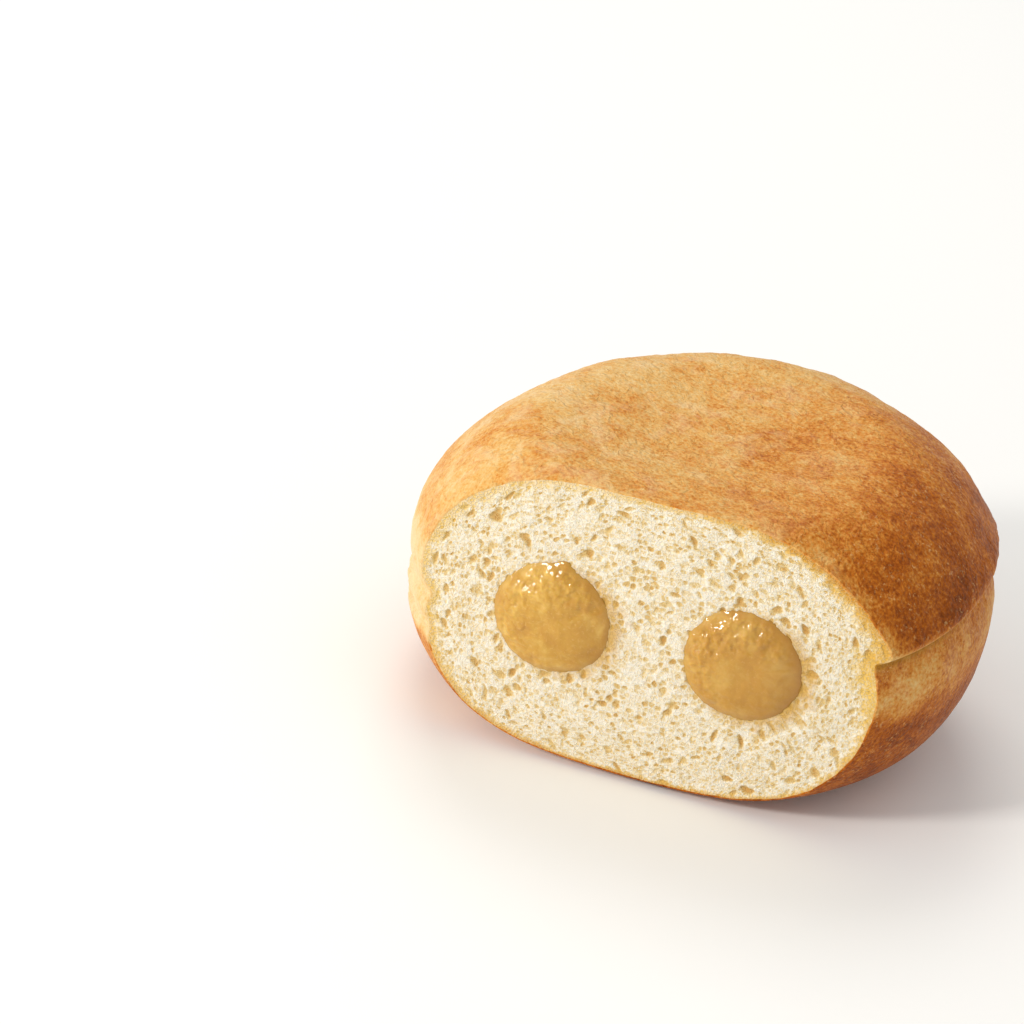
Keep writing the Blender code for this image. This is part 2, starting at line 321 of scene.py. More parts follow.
@dataclass(frozen=True)
class BeignetForm:
    """The uneven outer form of the fried dough, before the knife."""

    place: tuple = (-0.0019, -0.0093, 0.0)
    cut_distance: float = 0.0267
    foot_radius: float = 0.020
    outline_points: tuple = (
        (0.0200, 0.0),
        (0.0280, 0.0008),
        (0.0350, 0.0027),
        (0.0412, 0.0075),
        (0.0450, 0.0148),
        (0.0462, 0.0240),
        (0.0462, 0.0316),
        (0.0428, 0.0398),
        (0.0369, 0.0463),
        (0.0292, 0.0502),
        (0.0200, 0.0504),
        (0.0100, 0.0497),
        (0.0, 0.0496),
    )
    middle_height: float = 0.025
    upper_shares: tuple = (0.084, -0.037, -0.016, 0.044)
    lower_shares: tuple = (0.020, 0.057, 0.024, 0.0)
    blend_start: float = -0.35
    blend_span: float = 0.9
    crease_height: float = 0.0285
    crease_tilt: float = 0.0055
    crease_wander: float = 0.0006
    wander_waves: tuple = ((3, 1.0, 1.0), (5, 0.4, 0.6))
    crease_reach_down: float = 0.024
    crease_reach_up: float = 0.021
    lip_azimuth: float = math.radians(-20.0)
    lip_spread: float = 0.75
    lip_dent: float = 0.0021
    lip_above: float = 0.0011
    lip_below: float = 0.0050
    soft_dent: float = 0.0012
    soft_above: float = 0.0017
    soft_below: float = 0.0021
    lip_swell: float = 0.0007
    lip_swell_rise: float = 0.0028
    lip_swell_reach: float = 0.0030
    dent_change: float = 0.3
    dent_waves: tuple = ((1, 0.6, 0.5), (5, 0.6, 0.5))
    fold_drop: float = 0.0062
    fold_dent: float = 0.0006
    fold_reach: float = 0.0016
    fold_waves: tuple = ((4, 0.5, 1.0),)
    swell_height: float = 0.0004
    swell_length: float = 0.015
    swell_start: float = 0.006
    lump_height: float = 0.00010
    lump_length: float = 0.0042
    grain_height: float = 0.00006
    grain_length: float = 0.0013
    pucker_height: float = 0.00016
    pucker_width: float = 0.0016
    pucker_stretch: float = 0.25
    pucker_drop: float = 0.001
    pucker_reach: float = 0.005

    @property
    def cut_y(self) -> float:
        """Where the knife's plane lies."""
        return self.place[1] - self.cut_distance

    def curve(self, steps: int = 24) -> np.ndarray:
        """Runs a smooth curve through the outline's points.

        Args:
            steps: How many short steps each span between two points takes.

        Returns:
            Rows of radius and height, from the foot's rim to the top of the axis.
        """
        points = np.array(self.outline_points)
        first = [2.0 * points[0, 0] - points[1, 0], points[0, 1]]
        last = [-points[-2, 0], points[-2, 1]]
        padded = np.vstack([first, points, last])
        rows = []
        for before, start, end, after in zip(padded, padded[1:], padded[2:], padded[3:]):
            for step in range(steps):
                t = step / steps
                square = (2.0 * before - 5.0 * start + 4.0 * end - after) * t * t
                cube = (3.0 * start - 3.0 * end + after - before) * t**3
                rows.append(0.5 * (2.0 * start + (end - before) * t + square + cube))
        rows.append(points[-1])
        return np.array(rows)

    def profile(self, spacing: float, fine_spacing: float, fine_reach: float) -> np.ndarray:
        """Spreads points along half of the turned outline, closer together at the crease.

        Args:
            spacing: The distance between points on the plain skin.
            fine_spacing: The distance between points beside the crease.
            fine_reach: How far from the crease the points stay close.

        Returns:
            Rows of radius and height, from the middle of the foot to the top of the axis.
        """
        whole = np.vstack([[0.0, 0.0], self.curve()])
        lengths = np.linalg.norm(np.diff(whole, axis=0), axis=1)
        nearness = 1.0 - smooth_step(np.abs(whole[1:, 1] - self.crease_height) / fine_reach - 0.5)
        on_side = whole[1:, 0] > self.foot_radius
        wanted = spacing + (fine_spacing - spacing) * nearness * on_side
        count_so_far = np.concatenate([[0.0], np.cumsum(lengths / wanted)])
        places = np.linspace(0.0, count_so_far[-1], int(count_so_far[-1]) + 1)
        radii = np.interp(places, count_so_far, whole[:, 0])
        heights = np.interp(places, count_so_far, whole[:, 1])
        return np.stack([radii, heights], axis=1)

    def side_radius(self, heights: np.ndarray) -> np.ndarray:
        """Reads the outline's radius at heights on its side, below the brow."""
        curve = self.curve()
        side = curve[: int(np.argmax(curve[:, 1])) + 1]
        return np.interp(heights, side[:, 1], side[:, 0])

    def uneven_share(self, azimuth: np.ndarray, lift: np.ndarray) -> np.ndarray:
        """Tells how far from round the beignet is.

        Args:
            azimuth: The angle round the axis.
            lift: Zero in the lower shell and one in the upper one.

        Returns:
            The factor on the radius.
        """
        parts = np.stack(
            [np.cos(azimuth), np.sin(azimuth), np.cos(2.0 * azimuth), np.sin(2.0 * azimuth)], axis=-1
        )
        upper = parts @ np.array(self.upper_shares)
        lower = parts @ np.array(self.lower_shares)
        return 1.0 + lower + (upper - lower) * lift

    def lip_share(self, azimuth: np.ndarray) -> np.ndarray:
        """One where the upper shell overhangs in a lip, and zero where the waist is soft."""
        return smooth_step(0.5 + self.lip_spread * np.cos(azimuth - self.lip_azimuth))

    def crease_dent(self, azimuth: np.ndarray, offset: np.ndarray) -> np.ndarray:
        """Tells how deep the waist lies in.

        Args:
            azimuth: The angle round the axis.
            offset: The height above the crease.

        Returns:
            How far the skin lies inside the plain outline.
        """
        lip = self.lip_share(azimuth)
        depth = self.soft_dent + (self.lip_dent - self.soft_dent) * lip
        above = self.soft_above + (self.lip_above - self.soft_above) * lip
        below = self.soft_below + (self.lip_below - self.soft_below) * lip
        reach = np.where(offset > 0.0, above, below)
        change = 1.0 + self.dent_change * waves(azimuth, self.dent_waves)
        fold = self.fold_dent * (1.0 - lip) * (1.0 + waves(azimuth, self.fold_waves))
        fold_offset = (offset + self.fold_drop) / self.fold_reach
        lip_offset = (offset - self.lip_swell_rise) / self.lip_swell_reach
        dent = depth * change * np.exp(-((offset / reach) ** 2)) + fold * np.exp(-(fold_offset**2))
        return dent - self.lip_swell * lip * np.exp(-(lip_offset**2))

    def crease_rise(self, azimuth: np.ndarray, offset: np.ndarray) -> np.ndarray:
        """Tells how far the skin is pulled up with the crease, less and less with its offset from it."""
        pull = self.crease_tilt * np.cos(azimuth) + self.crease_wander * waves(azimuth, self.wander_waves)
        reach = np.where(offset > 0.0, self.crease_reach_up, self.crease_reach_down)
        return pull * (1.0 - smooth_step(np.abs(offset) / reach))

    def uneven(self, points: np.ndarray) -> np.ndarray:
        """Moves points of the turned beignet to their place on the real, uneven one.

        Args:
            points: Rows of coordinates round the upright axis through the origin.

        Returns:
            The rows moved, in the part's frame.
        """
        radius = np.hypot(points[:, 0], points[:, 1])
        height = points[:, 2]
        azimuth = np.arctan2(points[:, 1], points[:, 0])
        offset = height - self.crease_height
        rise = self.crease_rise(azimuth, offset)
        new_height = height + rise
        new_radius = np.where(np.abs(rise) > TINY, self.side_radius(new_height), radius)
        from_middle = new_height - self.middle_height
        slope = from_middle / np.maximum(np.hypot(new_radius, from_middle), TINY)
        lift = smooth_step((slope - self.blend_start) / self.blend_span)
        new_radius = new_radius * self.uneven_share(azimuth, lift) - self.crease_dent(azimuth, offset)
        above_foot = smooth_step(height / self.swell_start)
        swell = self.swell_height * noise_at(points, self.swell_length)
        swell = swell + self.lump_height * noise_at(points, self.lump_length, 2)
        swell = swell + self.grain_height * noise_at(points, self.grain_length, 2)
        swell = (swell + self.pucker(azimuth, offset)) * above_foot
        scale = np.where(radius > TINY, (new_radius + swell) / np.maximum(radius, TINY), 1.0)
        moved = np.stack([points[:, 0] * scale, points[:, 1] * scale, new_height + swell], axis=1)
        return moved + np.array(self.place)

    def pucker(self, azimuth: np.ndarray, offset: np.ndarray) -> np.ndarray:
        """Short upright wrinkles in the stretched skin of the waist.

        Args:
            azimuth: The angle round the axis.
            offset: The height above the crease.

        Returns:
            How far the skin stands out.
        """
        girth = azimuth * self.outline_points[5][0]
        rows = in_plane(girth, offset * self.pucker_stretch)
        near = np.exp(-(((offset + self.pucker_drop) / self.pucker_reach) ** 2))
        return self.pucker_height * near * noise_at(rows, self.pucker_width, 3)


@dataclass(frozen=True)
class Browning:
    """How brown the frying left each place of the skin, from 0 for pale dough to 1 for the darkest crust,
    with painted shade and a painted sheen mixed in.
    """

    upper_tone: float = 0.41
    upper_to_right: float = 0.21
    upper_to_ends: float = 0.18
    upper_to_back: float = -0.08
    flank_tone: float = 0.03
    flank_height: float = 0.006
    flank_reach: float = 0.014
    fringe_tone: float = -0.14
    fringe_reach: float = 0.0020
    fringe_start: float = 0.03
    lip_tip_height: float = 0.0035
    lip_tip_reach: float = 0.0040
    lip_edge_tone: float = -0.36
    lip_edge_height: float = 0.0011
    lip_edge_reach: float = 0.0012
    lower_tone: tuple = (0.60, 0.84)
    band_tone: tuple = (0.05, 0.48)
    under_lip_tone: float = 0.12
    under_lip_reach: float = 0.0042
    band_top: tuple = (0.0040, 0.0002)
    band_top_blur: tuple = (0.0060, 0.0005)
    band_low: tuple = (0.0080, 0.0050)
    band_low_blur: tuple = (0.0042, 0.0085)
    ragged_height: float = 0.0013
    ragged_length: float = 0.0040
    ragged_lip_loss: float = 0.8
    half_width: float = 0.046

    def tone(self, form: BeignetForm, points: np.ndarray, offset: np.ndarray) -> np.ndarray:
        """Works out the browning of every point, with painted shade to the right and under the lip, and a
        painted sheen along the lip's edge.

        Each pair of values holds the soft side of the waist first and the side with the lip second.

        Args:
            form: The beignet's form.
            points: Rows of coordinates in the part's frame.
            offset: Each point's height above the crease on the turned outline.

        Returns:
            The browning with its painted shade and sheen, from 0 to 1.
        """
        centred = points - np.array(form.place)
        azimuth = np.arctan2(centred[:, 1], centred[:, 0])
        lip = form.lip_share(azimuth)

        def across(pair: tuple) -> np.ndarray:
            """Blends from the soft side's value to the lip side's."""
            return pair[0] + (pair[1] - pair[0]) * lip

        ragged = self.ragged_height * noise_at(points, self.ragged_length, 3)
        top_offset = offset - across(self.band_top) + ragged * (1.0 - self.ragged_lip_loss * lip)
        upper = smooth_step(top_offset / across(self.band_top_blur))
        lower = smooth_step((ragged - offset - across(self.band_low)) / across(self.band_low_blur))
        flank = smooth_step(1.0 - np.abs(offset - self.flank_height) / self.flank_reach)
        # Darker to the right: partly the frying's browning, partly painted shade on the side turned away from
        # the lamps.
        upper_tone = self.upper_tone + self.upper_to_right * centred[:, 0] / self.half_width
        upper_tone = upper_tone + self.upper_to_ends * (centred[:, 0] / self.half_width) ** 2
        upper_tone = upper_tone + self.upper_to_back * centred[:, 1] / self.half_width
        upper_tone = upper_tone + self.flank_tone * flank * lip
        fringe = np.exp(-(((points[:, 1] - form.cut_y) / self.fringe_reach) ** 2))
        fringe = fringe * smooth_step(centred[:, 0] / self.fringe_start)
        tip = np.exp(-(((offset - self.lip_tip_height) / self.lip_tip_reach) ** 2)) * lip
        upper_tone = upper_tone + self.fringe_tone * fringe * (1.0 + tip)
        # The lower edge of the lip is lightened: partly a paler edge of crust, partly a painted sheen of
        # grazing light.
        edge = (offset - self.lip_edge_height) / self.lip_edge_reach
        upper_tone = upper_tone + self.lip_edge_tone * lip * np.exp(-(edge**2))
        band_tone = across(self.band_tone)
        # Painted shade: the band is darkened just under the overhanging lip.
        band_tone = band_tone + self.under_lip_tone * lip * np.exp(-((offset / self.under_lip_reach) ** 2))
        waist = band_tone + (across(self.lower_tone) - band_tone) * lower
        return np.clip(waist + (upper_tone - waist) * upper, 0.0, 1.0)


def per_metre(size_mm: float) -> float:
    """Gives the scale of a pattern whose cells have a size in millimetres."""
    return 1.0 / (size_mm * MILLIMETRE)


def span(value: bpy.types.NodeSocket, low: float, high: float, start: float, end: float) -> dict:
    """Names the inputs of a change of range.

    Args:
        value: The value to change.
        low: Where its old range starts.
        high: Where its old range ends.
        start: What it becomes up to there.
        end: What it becomes from there on.

    Returns:
        The inputs of a node that makes the change.
    """
    return {"Value": value, "From Min": low, "From Max": high, "To Min": start, "To Max": end}


def new_material(name: str) -> tuple[bpy.types.Material, Callable, bpy.types.Node]:
    """Makes an empty material.

    Args:
        name: Its name.

    Returns:
        The material, the function that adds a node to it, and its surface shader.
    """
    material = bpy.data.materials.new(name)
    material.use_nodes = True
    return material, partial(add_node, material.node_tree), material.node_tree.nodes["Principled BSDF"]


def read_attributes(add: Callable, *names: str) -> list[bpy.types.NodeSocket]:
    """Reads point attributes of the mesh as numbers."""
    return [add("Attribute", {"attribute_name": name}, output="Fac") for name in names]


def layered(add: Callable, base: bpy.types.NodeSocket, *layers: tuple) -> bpy.types.NodeSocket:
    """Lays colours over a first one.

    Args:
        add: Adds a node to the material.
        base: The lowest colour.
        layers: For each further colour, where it shows from 0 to 1, and its hex digits.

    Returns:
        The colour that shows.
    """
    colour = base
    for share, hex_colour in layers:
        inputs = {0: share, 6: colour, 7: linear(hex_colour)}
        colour = add("Mix", {"data_type": "RGBA"}, inputs, output=2)
    return colour


def roughened(add: Callable, *layers: tuple) -> bpy.types.NodeSocket:
    """Roughens the surface, coarse layers first.

    Args:
        add: Adds a node to the material.
        layers: For each one its height from 0 to 1, and how high one stands in millimetres.

    Returns:
        The new normal.
    """
    below = {}
    for height, depth_mm in layers:
        inputs = {"Strength": 1.0, "Distance": depth_mm * MILLIMETRE, "Height": height, **below}
        below = {"Normal": add("Bump", inputs=inputs)}
    return below["Normal"]


@dataclass(frozen=True)
class Grain:
    """One layer of solid noise, by its grain in millimetres and how fine, rough and swirled it is."""

    size_mm: float
    detail: float = 2.0
    roughness: float = 0.5
    distortion: float = 0.0

    def build(
        self, add: Callable, place: bpy.types.NodeSocket, output: str = "Fac"
    ) -> bpy.types.NodeSocket:
        """Makes the noise.

        Args:
            add: Adds a node to the material.
            place: The place to read it at.
            output: "Fac" for a number from 0 to 1, or "Color" for three of them.

        Returns:
            The noise.
        """
        inputs = {"Vector": place, "Scale": per_metre(self.size_mm), "Detail": self.detail}
        inputs |= {"Roughness": self.roughness, "Distortion": self.distortion}
        return add("TexNoise", inputs=inputs, output=output)


@dataclass(frozen=True)
class Warp:
    """A shift by solid noise, so that a pattern isn't regular, by its grain and its reach in millimetres."""

    grain: Grain
    shift_mm: float

    def build(self, add: Callable, place: bpy.types.NodeSocket) -> bpy.types.NodeSocket:
        """Shifts a place.

        Args:
            add: Adds a node to the material.
            place: The place.

        Returns:
            The shifted place.
        """
        shift = (2.0 * self.shift_mm * MILLIMETRE,) * 3
        inputs = {0: self.grain.build(add, place, "Color"), 1: shift, 2: place}
        return add("VectorMath", {"operation": "MULTIPLY_ADD"}, inputs)


@dataclass(frozen=True)
class FriedCrust:
    """Yeast dough fried in oil: a thin, dry, leathery skin, finely blistered and mottled as it browned."""

    name: str = "fried_yeast_dough_crust"
    stops: tuple = (
        (0.00, "E9CD98"),
        (0.18, "E5BF7E"),
        (0.36, "E0AB5D"),
        (0.52, "D58C38"),
        (0.68, "BC6816"),
        (0.84, "9E4E08"),
        (1.00, "7C3A04"),
    )
    crease_colour: str = "A27418"
    flake_colour: str = "EFC382"
    cream_colour: str = "F2D8AC"
    blister_mm: float = 0.62
    blister_warp: Warp = Warp(Grain(1.2), 0.40)
    fine: Grain = Grain(0.50, 3.0, 0.65)
    mottle: Grain = Grain(1.7, 4.0, 0.65, 0.8)
    patches: Grain = Grain(9.0, 3.0, 0.6)
    flakes: Grain = Grain(0.55, 2.0, 0.6, 0.3)
    flake_patches: Grain = Grain(3.2, 3.0, 0.6)
    cream: Grain = Grain(6.5, 3.0, 0.7, 0.6)
    wrinkles: Grain = Grain(2.2, 2.0, 0.55, 1.4)
    blister_strength: float = -0.22
    fine_strength: float = 0.52
    mottle_strength: float = 0.56
    patch_strength: float = 0.66
    flake_strength: float = 0.60
    flake_limits: tuple = (0.57, 0.72)
    flake_patch_limits: tuple = (0.42, 0.60)
    cream_strength: float = 0.42
    cream_limits: tuple = (0.48, 0.68)
    cream_browning: tuple = (0.30, 0.62)
    blister_depth_mm: float = 0.06
    fine_depth_mm: float = 0.13
    wrinkle_depth_mm: float = 0.50
    roughness: float = 0.46
    ior: float = 1.45
    specular: float = 0.14

    def build(self) -> bpy.types.Material:
        """Makes the material.

        Returns:
            A material that reads the point attributes for browning, which also holds painted shade and sheen,
            and for the crease, which is partly olive colour and partly painted shade under the lip.
        """
        material, add, shader = new_material(self.name)
        place = add("TexCoord", output="Object")
        browning, crease = read_attributes(add, "browning", "crease")
        cells = {"Vector": self.blister_warp.build(add, place), "Scale": per_metre(self.blister_mm)}
        blisters = add("TexVoronoi", inputs=cells, output="Distance")
        fine = self.fine.build(add, place)
        patterns = (
            (blisters, self.blister_strength),
            (fine, self.fine_strength),
            (self.mottle.build(add, place), self.mottle_strength),
            (self.patches.build(add, place), self.patch_strength),
        )
        middle = -0.5 * sum(strength for _, strength in patterns)
        tone = add("Math", {"operation": "ADD"}, {0: browning, 1: middle})
        for pattern, strength in patterns:
            tone = add("Math", {"operation": "MULTIPLY_ADD"}, {0: pattern, 1: strength, 2: tone})
        flakes = span(self.flakes.build(add, place), *self.flake_limits, 0.0, self.flake_strength)
        flaking = span(self.flake_patches.build(add, place), *self.flake_patch_limits, 0.0, 1.0)
        pale = span(browning, *self.cream_browning, self.cream_strength, 0.0)
        creamy = span(self.cream.build(add, place), *self.cream_limits, 0.0, 1.0)
        shares = []
        for pair in ((pale, creamy), (flakes, flaking)):
            first, second = (add("MapRange", inputs=part) for part in pair)
            shares.append(add("Math", {"operation": "MULTIPLY"}, {0: first, 1: second}))
        colour = layered(
            add,
            add("ValToRGB", inputs={0: tone}, stops=self.stops),
            # Partly olive colour and partly painted shade in the crease under the lip.
            (crease, self.crease_colour),
            (shares[0], self.cream_colour),
            (shares[1], self.flake_colour),
        )
        normal = roughened(
            add,
            (self.wrinkles.build(add, place), self.wrinkle_depth_mm),
            (blisters, self.blister_depth_mm),
            (fine, self.fine_depth_mm),
        )
        feed(shader, {"Base Color": colour, "Normal": normal, "Roughness": self.roughness})
        feed(shader, {"IOR": self.ior, "Specular IOR Level": self.specular})
        return material


@dataclass(frozen=True)
class OpenCrumb:
    """Soft white crumb of a rich dough, torn open by the knife: matt, and lit through its thin cell walls."""

    name: str = "soft_yeast_crumb"
    # From the pale walls to tan: the tan is painted shade deep in the cells.
    stops: tuple = (
        (0.00, "F8F2E4"),
        (0.30, "F0DFBA"),
        (0.60, "E2C484"),
        (1.00, "CFA058"),
    )
    skin_colour: str = "F0C860"
    amber_colour: str = "C6801E"
    soak_colour: str = "D6A850"
    cell_mm: float = 0.56
    cell_warp: Warp = Warp(Grain(0.9), 0.22)
    cell_depth_mm: float = 0.10
    cell_limits: tuple = (0.03, 0.20)
    chance_limits: tuple = (0.30, 0.85)
    cell_tones: tuple = (0.10, 0.38)
    wall_limits: tuple = (0.0, 0.25)
    wall_tint: float = 0.65
    wall_reach: float = 0.22
    roughness: float = 0.80
    ior: float = 1.40
    scatter: float = 0.30
    scatter_skin: float = 0.5
    scatter_mm: tuple = (0.8, 0.7, 0.55)

    def build(self) -> bpy.types.Material:
        """Makes the material. Under the crust it lets no light through, which would turn its border grey.

        Returns:
            A material that reads the point attributes for the cells' painted shade, skin, amber and soak.
        """
        material, add, shader = new_material(self.name)
        place = add("TexCoord", output="Object")
        pore, skin, amber, soak = read_attributes(add, "pore", "skin", "amber", "soak")
        cells = {"Vector": self.cell_warp.build(add, place), "Scale": per_metre(self.cell_mm)}
        wall = add("TexVoronoi", {"feature": "DISTANCE_TO_EDGE"}, cells, output="Distance")
        chance = add("TexVoronoi", inputs=cells, output="Color")
        # Painted shade: each fine cell darkens towards its middle, by its own chance, added to the painted
        # shade of the deeper cells.
        hollow = add("MapRange", inputs=span(wall, *self.cell_limits, 0.0, 1.0))
        depth = add("MapRange", inputs=span(chance, *self.chance_limits, *self.cell_tones))
        tone = add("Math", {"operation": "MULTIPLY_ADD"}, {0: hollow, 1: depth, 2: pore})
        # The walls keep less of the border's yellow than the cells, so they are painted paler than the shaded
        # cells.
        thin = add("MapRange", inputs=span(wall, *self.wall_limits, self.wall_tint, 1.0))
        skin_share, amber_share = (
            add("Math", {"operation": "MULTIPLY"}, {0: share, 1: thin}) for share in (skin, amber)
        )
        colour = layered(
            add,
            add("ValToRGB", inputs={0: tone}, stops=self.stops),
            (soak, self.soak_colour),
            (skin_share, self.skin_colour),
            (amber_share, self.amber_colour),
        )
        height = add("MapRange", inputs=span(wall, 0.0, self.wall_reach, 1.0, 0.0))
        scatter = add("MapRange", inputs=span(skin, 0.0, self.scatter_skin, self.scatter, 0.0))
        feed(shader, {"Base Color": colour, "Normal": roughened(add, (height, self.cell_depth_mm))})
        feed(shader, {"Roughness": self.roughness, "IOR": self.ior, "Subsurface Weight": scatter})
        radius = [value * MILLIMETRE for value in self.scatter_mm]
        feed(shader, {"Subsurface Radius": radius, "Subsurface Scale": 1.0})
        return material


@dataclass(frozen=True)
class WetCompote:
    """Smooth cooked fruit compote: cloudy, wet and shiny, with soft pulp just under a thin film of syrup."""

    name: str = "cooked_fruit_compote"
    stops: tuple = (
        (0.00, "C08A18"),
        (0.45, "CE9C2C"),
        (1.00, "E4BC5A"),
    )
    amber_colour: str = "B07804"
    edge_colour: str = "AC7018"
    grain_colour: str = "E4BE68"
    pulp: Grain = Grain(5.0, 4.0, 0.62, 0.4)
    pulp_limits: tuple = (0.32, 0.70)
    grain: Grain = Grain(0.5, 2.0, 0.6)
    grain_limits: tuple = (0.56, 0.72)
    grain_strength: float = 0.35
    fibres: Grain = Grain(0.55, 3.0)
    fibre_depth_mm: float = 0.025
    ripples: Grain = Grain(0.9, 3.0, 0.55, 0.8)
    ripple_depth_mm: float = 0.03
    roughness: float = 0.55
    ior: float = 1.40
    film: float = 1.0
    film_roughness: float = 0.05
    scatter: float = 0.5
    scatter_mm: tuple = (1.8, 1.3, 0.5)

    def build(self) -> bpy.types.Material:
        """Makes the material.

        Returns:
            A material that reads the point attributes amber, edge and rough; amber and edge also hold painted
            shade towards the lower right.
        """
        material, add, shader = new_material(self.name)
        place = add("TexCoord", output="Object")
        amber, edge, rough = read_attributes(add, "amber", "edge", "rough")
        tone = add("MapRange", inputs=span(self.pulp.build(add, place), *self.pulp_limits, 0.0, 1.0))
        speckle = span(self.grain.build(add, place), *self.grain_limits, 0.0, self.grain_strength)
        colour = layered(
            add,
            add("ValToRGB", inputs={0: tone}, stops=self.stops),
            (add("MapRange", inputs=speckle), self.grain_colour),
            # Partly the fruit's amber, partly painted shade towards the lower right.
            (amber, self.amber_colour),
            # A darker rim: partly amber colour, partly painted shade where the filling meets the crumb, most
            # on the lower right.
            (edge, self.edge_colour),
        )
        dragged = add("Math", {"operation": "MULTIPLY"}, {0: self.ripples.build(add, place), 1: rough})
        feed(shader, {"Base Color": colour, "Coat Normal": roughened(add, (dragged, self.ripple_depth_mm))})
        feed(shader, {"Normal": roughened(add, (self.fibres.build(add, place), self.fibre_depth_mm))})
        feed(shader, {"Roughness": self.roughness, "IOR": self.ior, "Subsurface Weight": self.scatter})
        feed(shader, {"Coat Weight": self.film, "Coat Roughness": self.film_roughness})
        radius = [value * MILLIMETRE for value in self.scatter_mm]
        feed(shader, {"Subsurface Radius": radius, "Subsurface Scale": 1.0})
        return material


@dataclass(frozen=True)
class StudioPaper:
    """Matt white paper, rolled out under and behind the object, so that it takes only a soft shadow."""

    name: str = "matt_white_paper"
    colour: str = "FAFAF8"
    roughness: float = 0.9

    def build(self) -> bpy.types.Material:
        """Makes the material.

        Returns:
            A material of one colour.
        """
        material, _, shader = new_material(self.name)
        feed(shader, {"Base Color": linear(self.colour), "Roughness": self.roughness})
        return material


@dataclass
class CutSection:
    """Where the cut shows crumb: its border, and the round holes that the fillings stand in."""

    border: np.ndarray
    holes: dict[Side, tuple[float, float]]
    hole_radius: float
    tree: kdtree.KDTree = field(init=False)
    middle: np.ndarray = field(init=False)

    def __post_init__(self) -> None:
        """Prepares the search for the nearest place of the border."""
        self.tree = kdtree.KDTree(len(self.border))
        for index, (x, z) in enumerate(self.border.tolist()):
            self.tree.insert((x, 0.0, z), index)
        self.tree.balance()
        self.middle = 0.5 * (self.border.min(axis=0) + self.border.max(axis=0))

    def angles(self, x: np.ndarray, z: np.ndarray) -> np.ndarray:
        """Gives each place's direction from the middle of the section."""
        return np.arctan2(z - self.middle[1], x - self.middle[0])

    def limit(self, x: np.ndarray, z: np.ndarray) -> np.ndarray:
        """Gives the border's distance from the middle in the direction of each place."""
        border_angles = self.angles(self.border[:, 0], self.border[:, 1])
        reach = np.hypot(self.border[:, 0] - self.middle[0], self.border[:, 1] - self.middle[1])
        order = np.argsort(border_angles)
        return np.interp(self.angles(x, z), border_angles[order], reach[order], period=2.0 * math.pi)

    def border_share(self, x: np.ndarray, z: np.ndarray) -> np.ndarray:
        """Tells how far out each place lies, from 0 in the middle to 1 on the border."""
        return np.hypot(x - self.middle[0], z - self.middle[1]) / self.limit(x, z)

    def inside(self, x: np.ndarray, z: np.ndarray, inset: float) -> np.ndarray:
        """Tells which places lie within the border.

        Args:
            x: Each place's distance to the right.
            z: Each place's height.
            inset: How far inside the border they must lie.

        Returns:
            True for each place that does.
        """
        return np.hypot(x - self.middle[0], z - self.middle[1]) < self.limit(x, z) - inset

    def nearest(self, x: np.ndarray, z: np.ndarray) -> tuple[np.ndarray, np.ndarray]:
        """Finds each place's nearest border point.

        Args:
            x: Each place's distance to the right.
            z: Each place's height.

        Returns:
            The index of the border point and the distance to it.
        """
        found = [self.tree.find((a, 0.0, b)) for a, b in zip(x.tolist(), z.tolist())]
        return np.array([item[1] for item in found]), np.array([item[2] for item in found])

    def along_border(self, flat: np.ndarray) -> np.ndarray:
        """Spreads a ring of places along the border, each near the border point closest to it.

        Args:
            flat: Rows of distance to the right and height, in the ring's order.

        Returns:
            The rows moved onto the border.
        """
        count = len(self.border)
        closed = np.vstack([self.border, self.border[:1]])
        lengths = np.concatenate([[0.0], np.cumsum(np.linalg.norm(np.diff(closed, axis=0), axis=1))])
        index, _ = self.nearest(flat[:, 0], flat[:, 1])
        best, best_away = np.zeros(len(flat)), np.full(len(flat), np.inf)
        for first in ((index - 1) % count, index):
            start = closed[first]
            step = closed[first + 1] - start
            share = np.clip(np.sum((flat - start) * step, axis=1) / np.sum(step * step, axis=1), 0.0, 1.0)
            away = np.linalg.norm(start + share[:, None] * step - flat, axis=1)
            length = lengths[first] + share * (lengths[first + 1] - lengths[first])
            best = np.where(away < best_away, length, best)
            best_away = np.minimum(away, best_away)
        turns = one_way_round(best / lengths[-1] * math.tau)
        places = np.mod(turns, math.tau) / math.tau * lengths[-1]
        columns = [np.interp(places, lengths, closed[:, axis]) for axis in range(2)]
        return np.stack(columns, axis=1)

    def from_hole(self, side: Side, x: np.ndarray, z: np.ndarray) -> np.ndarray:
        """Gives the distance of each place from the middle of a filling."""
        return np.hypot(x - self.holes[side][0], z - self.holes[side][1])


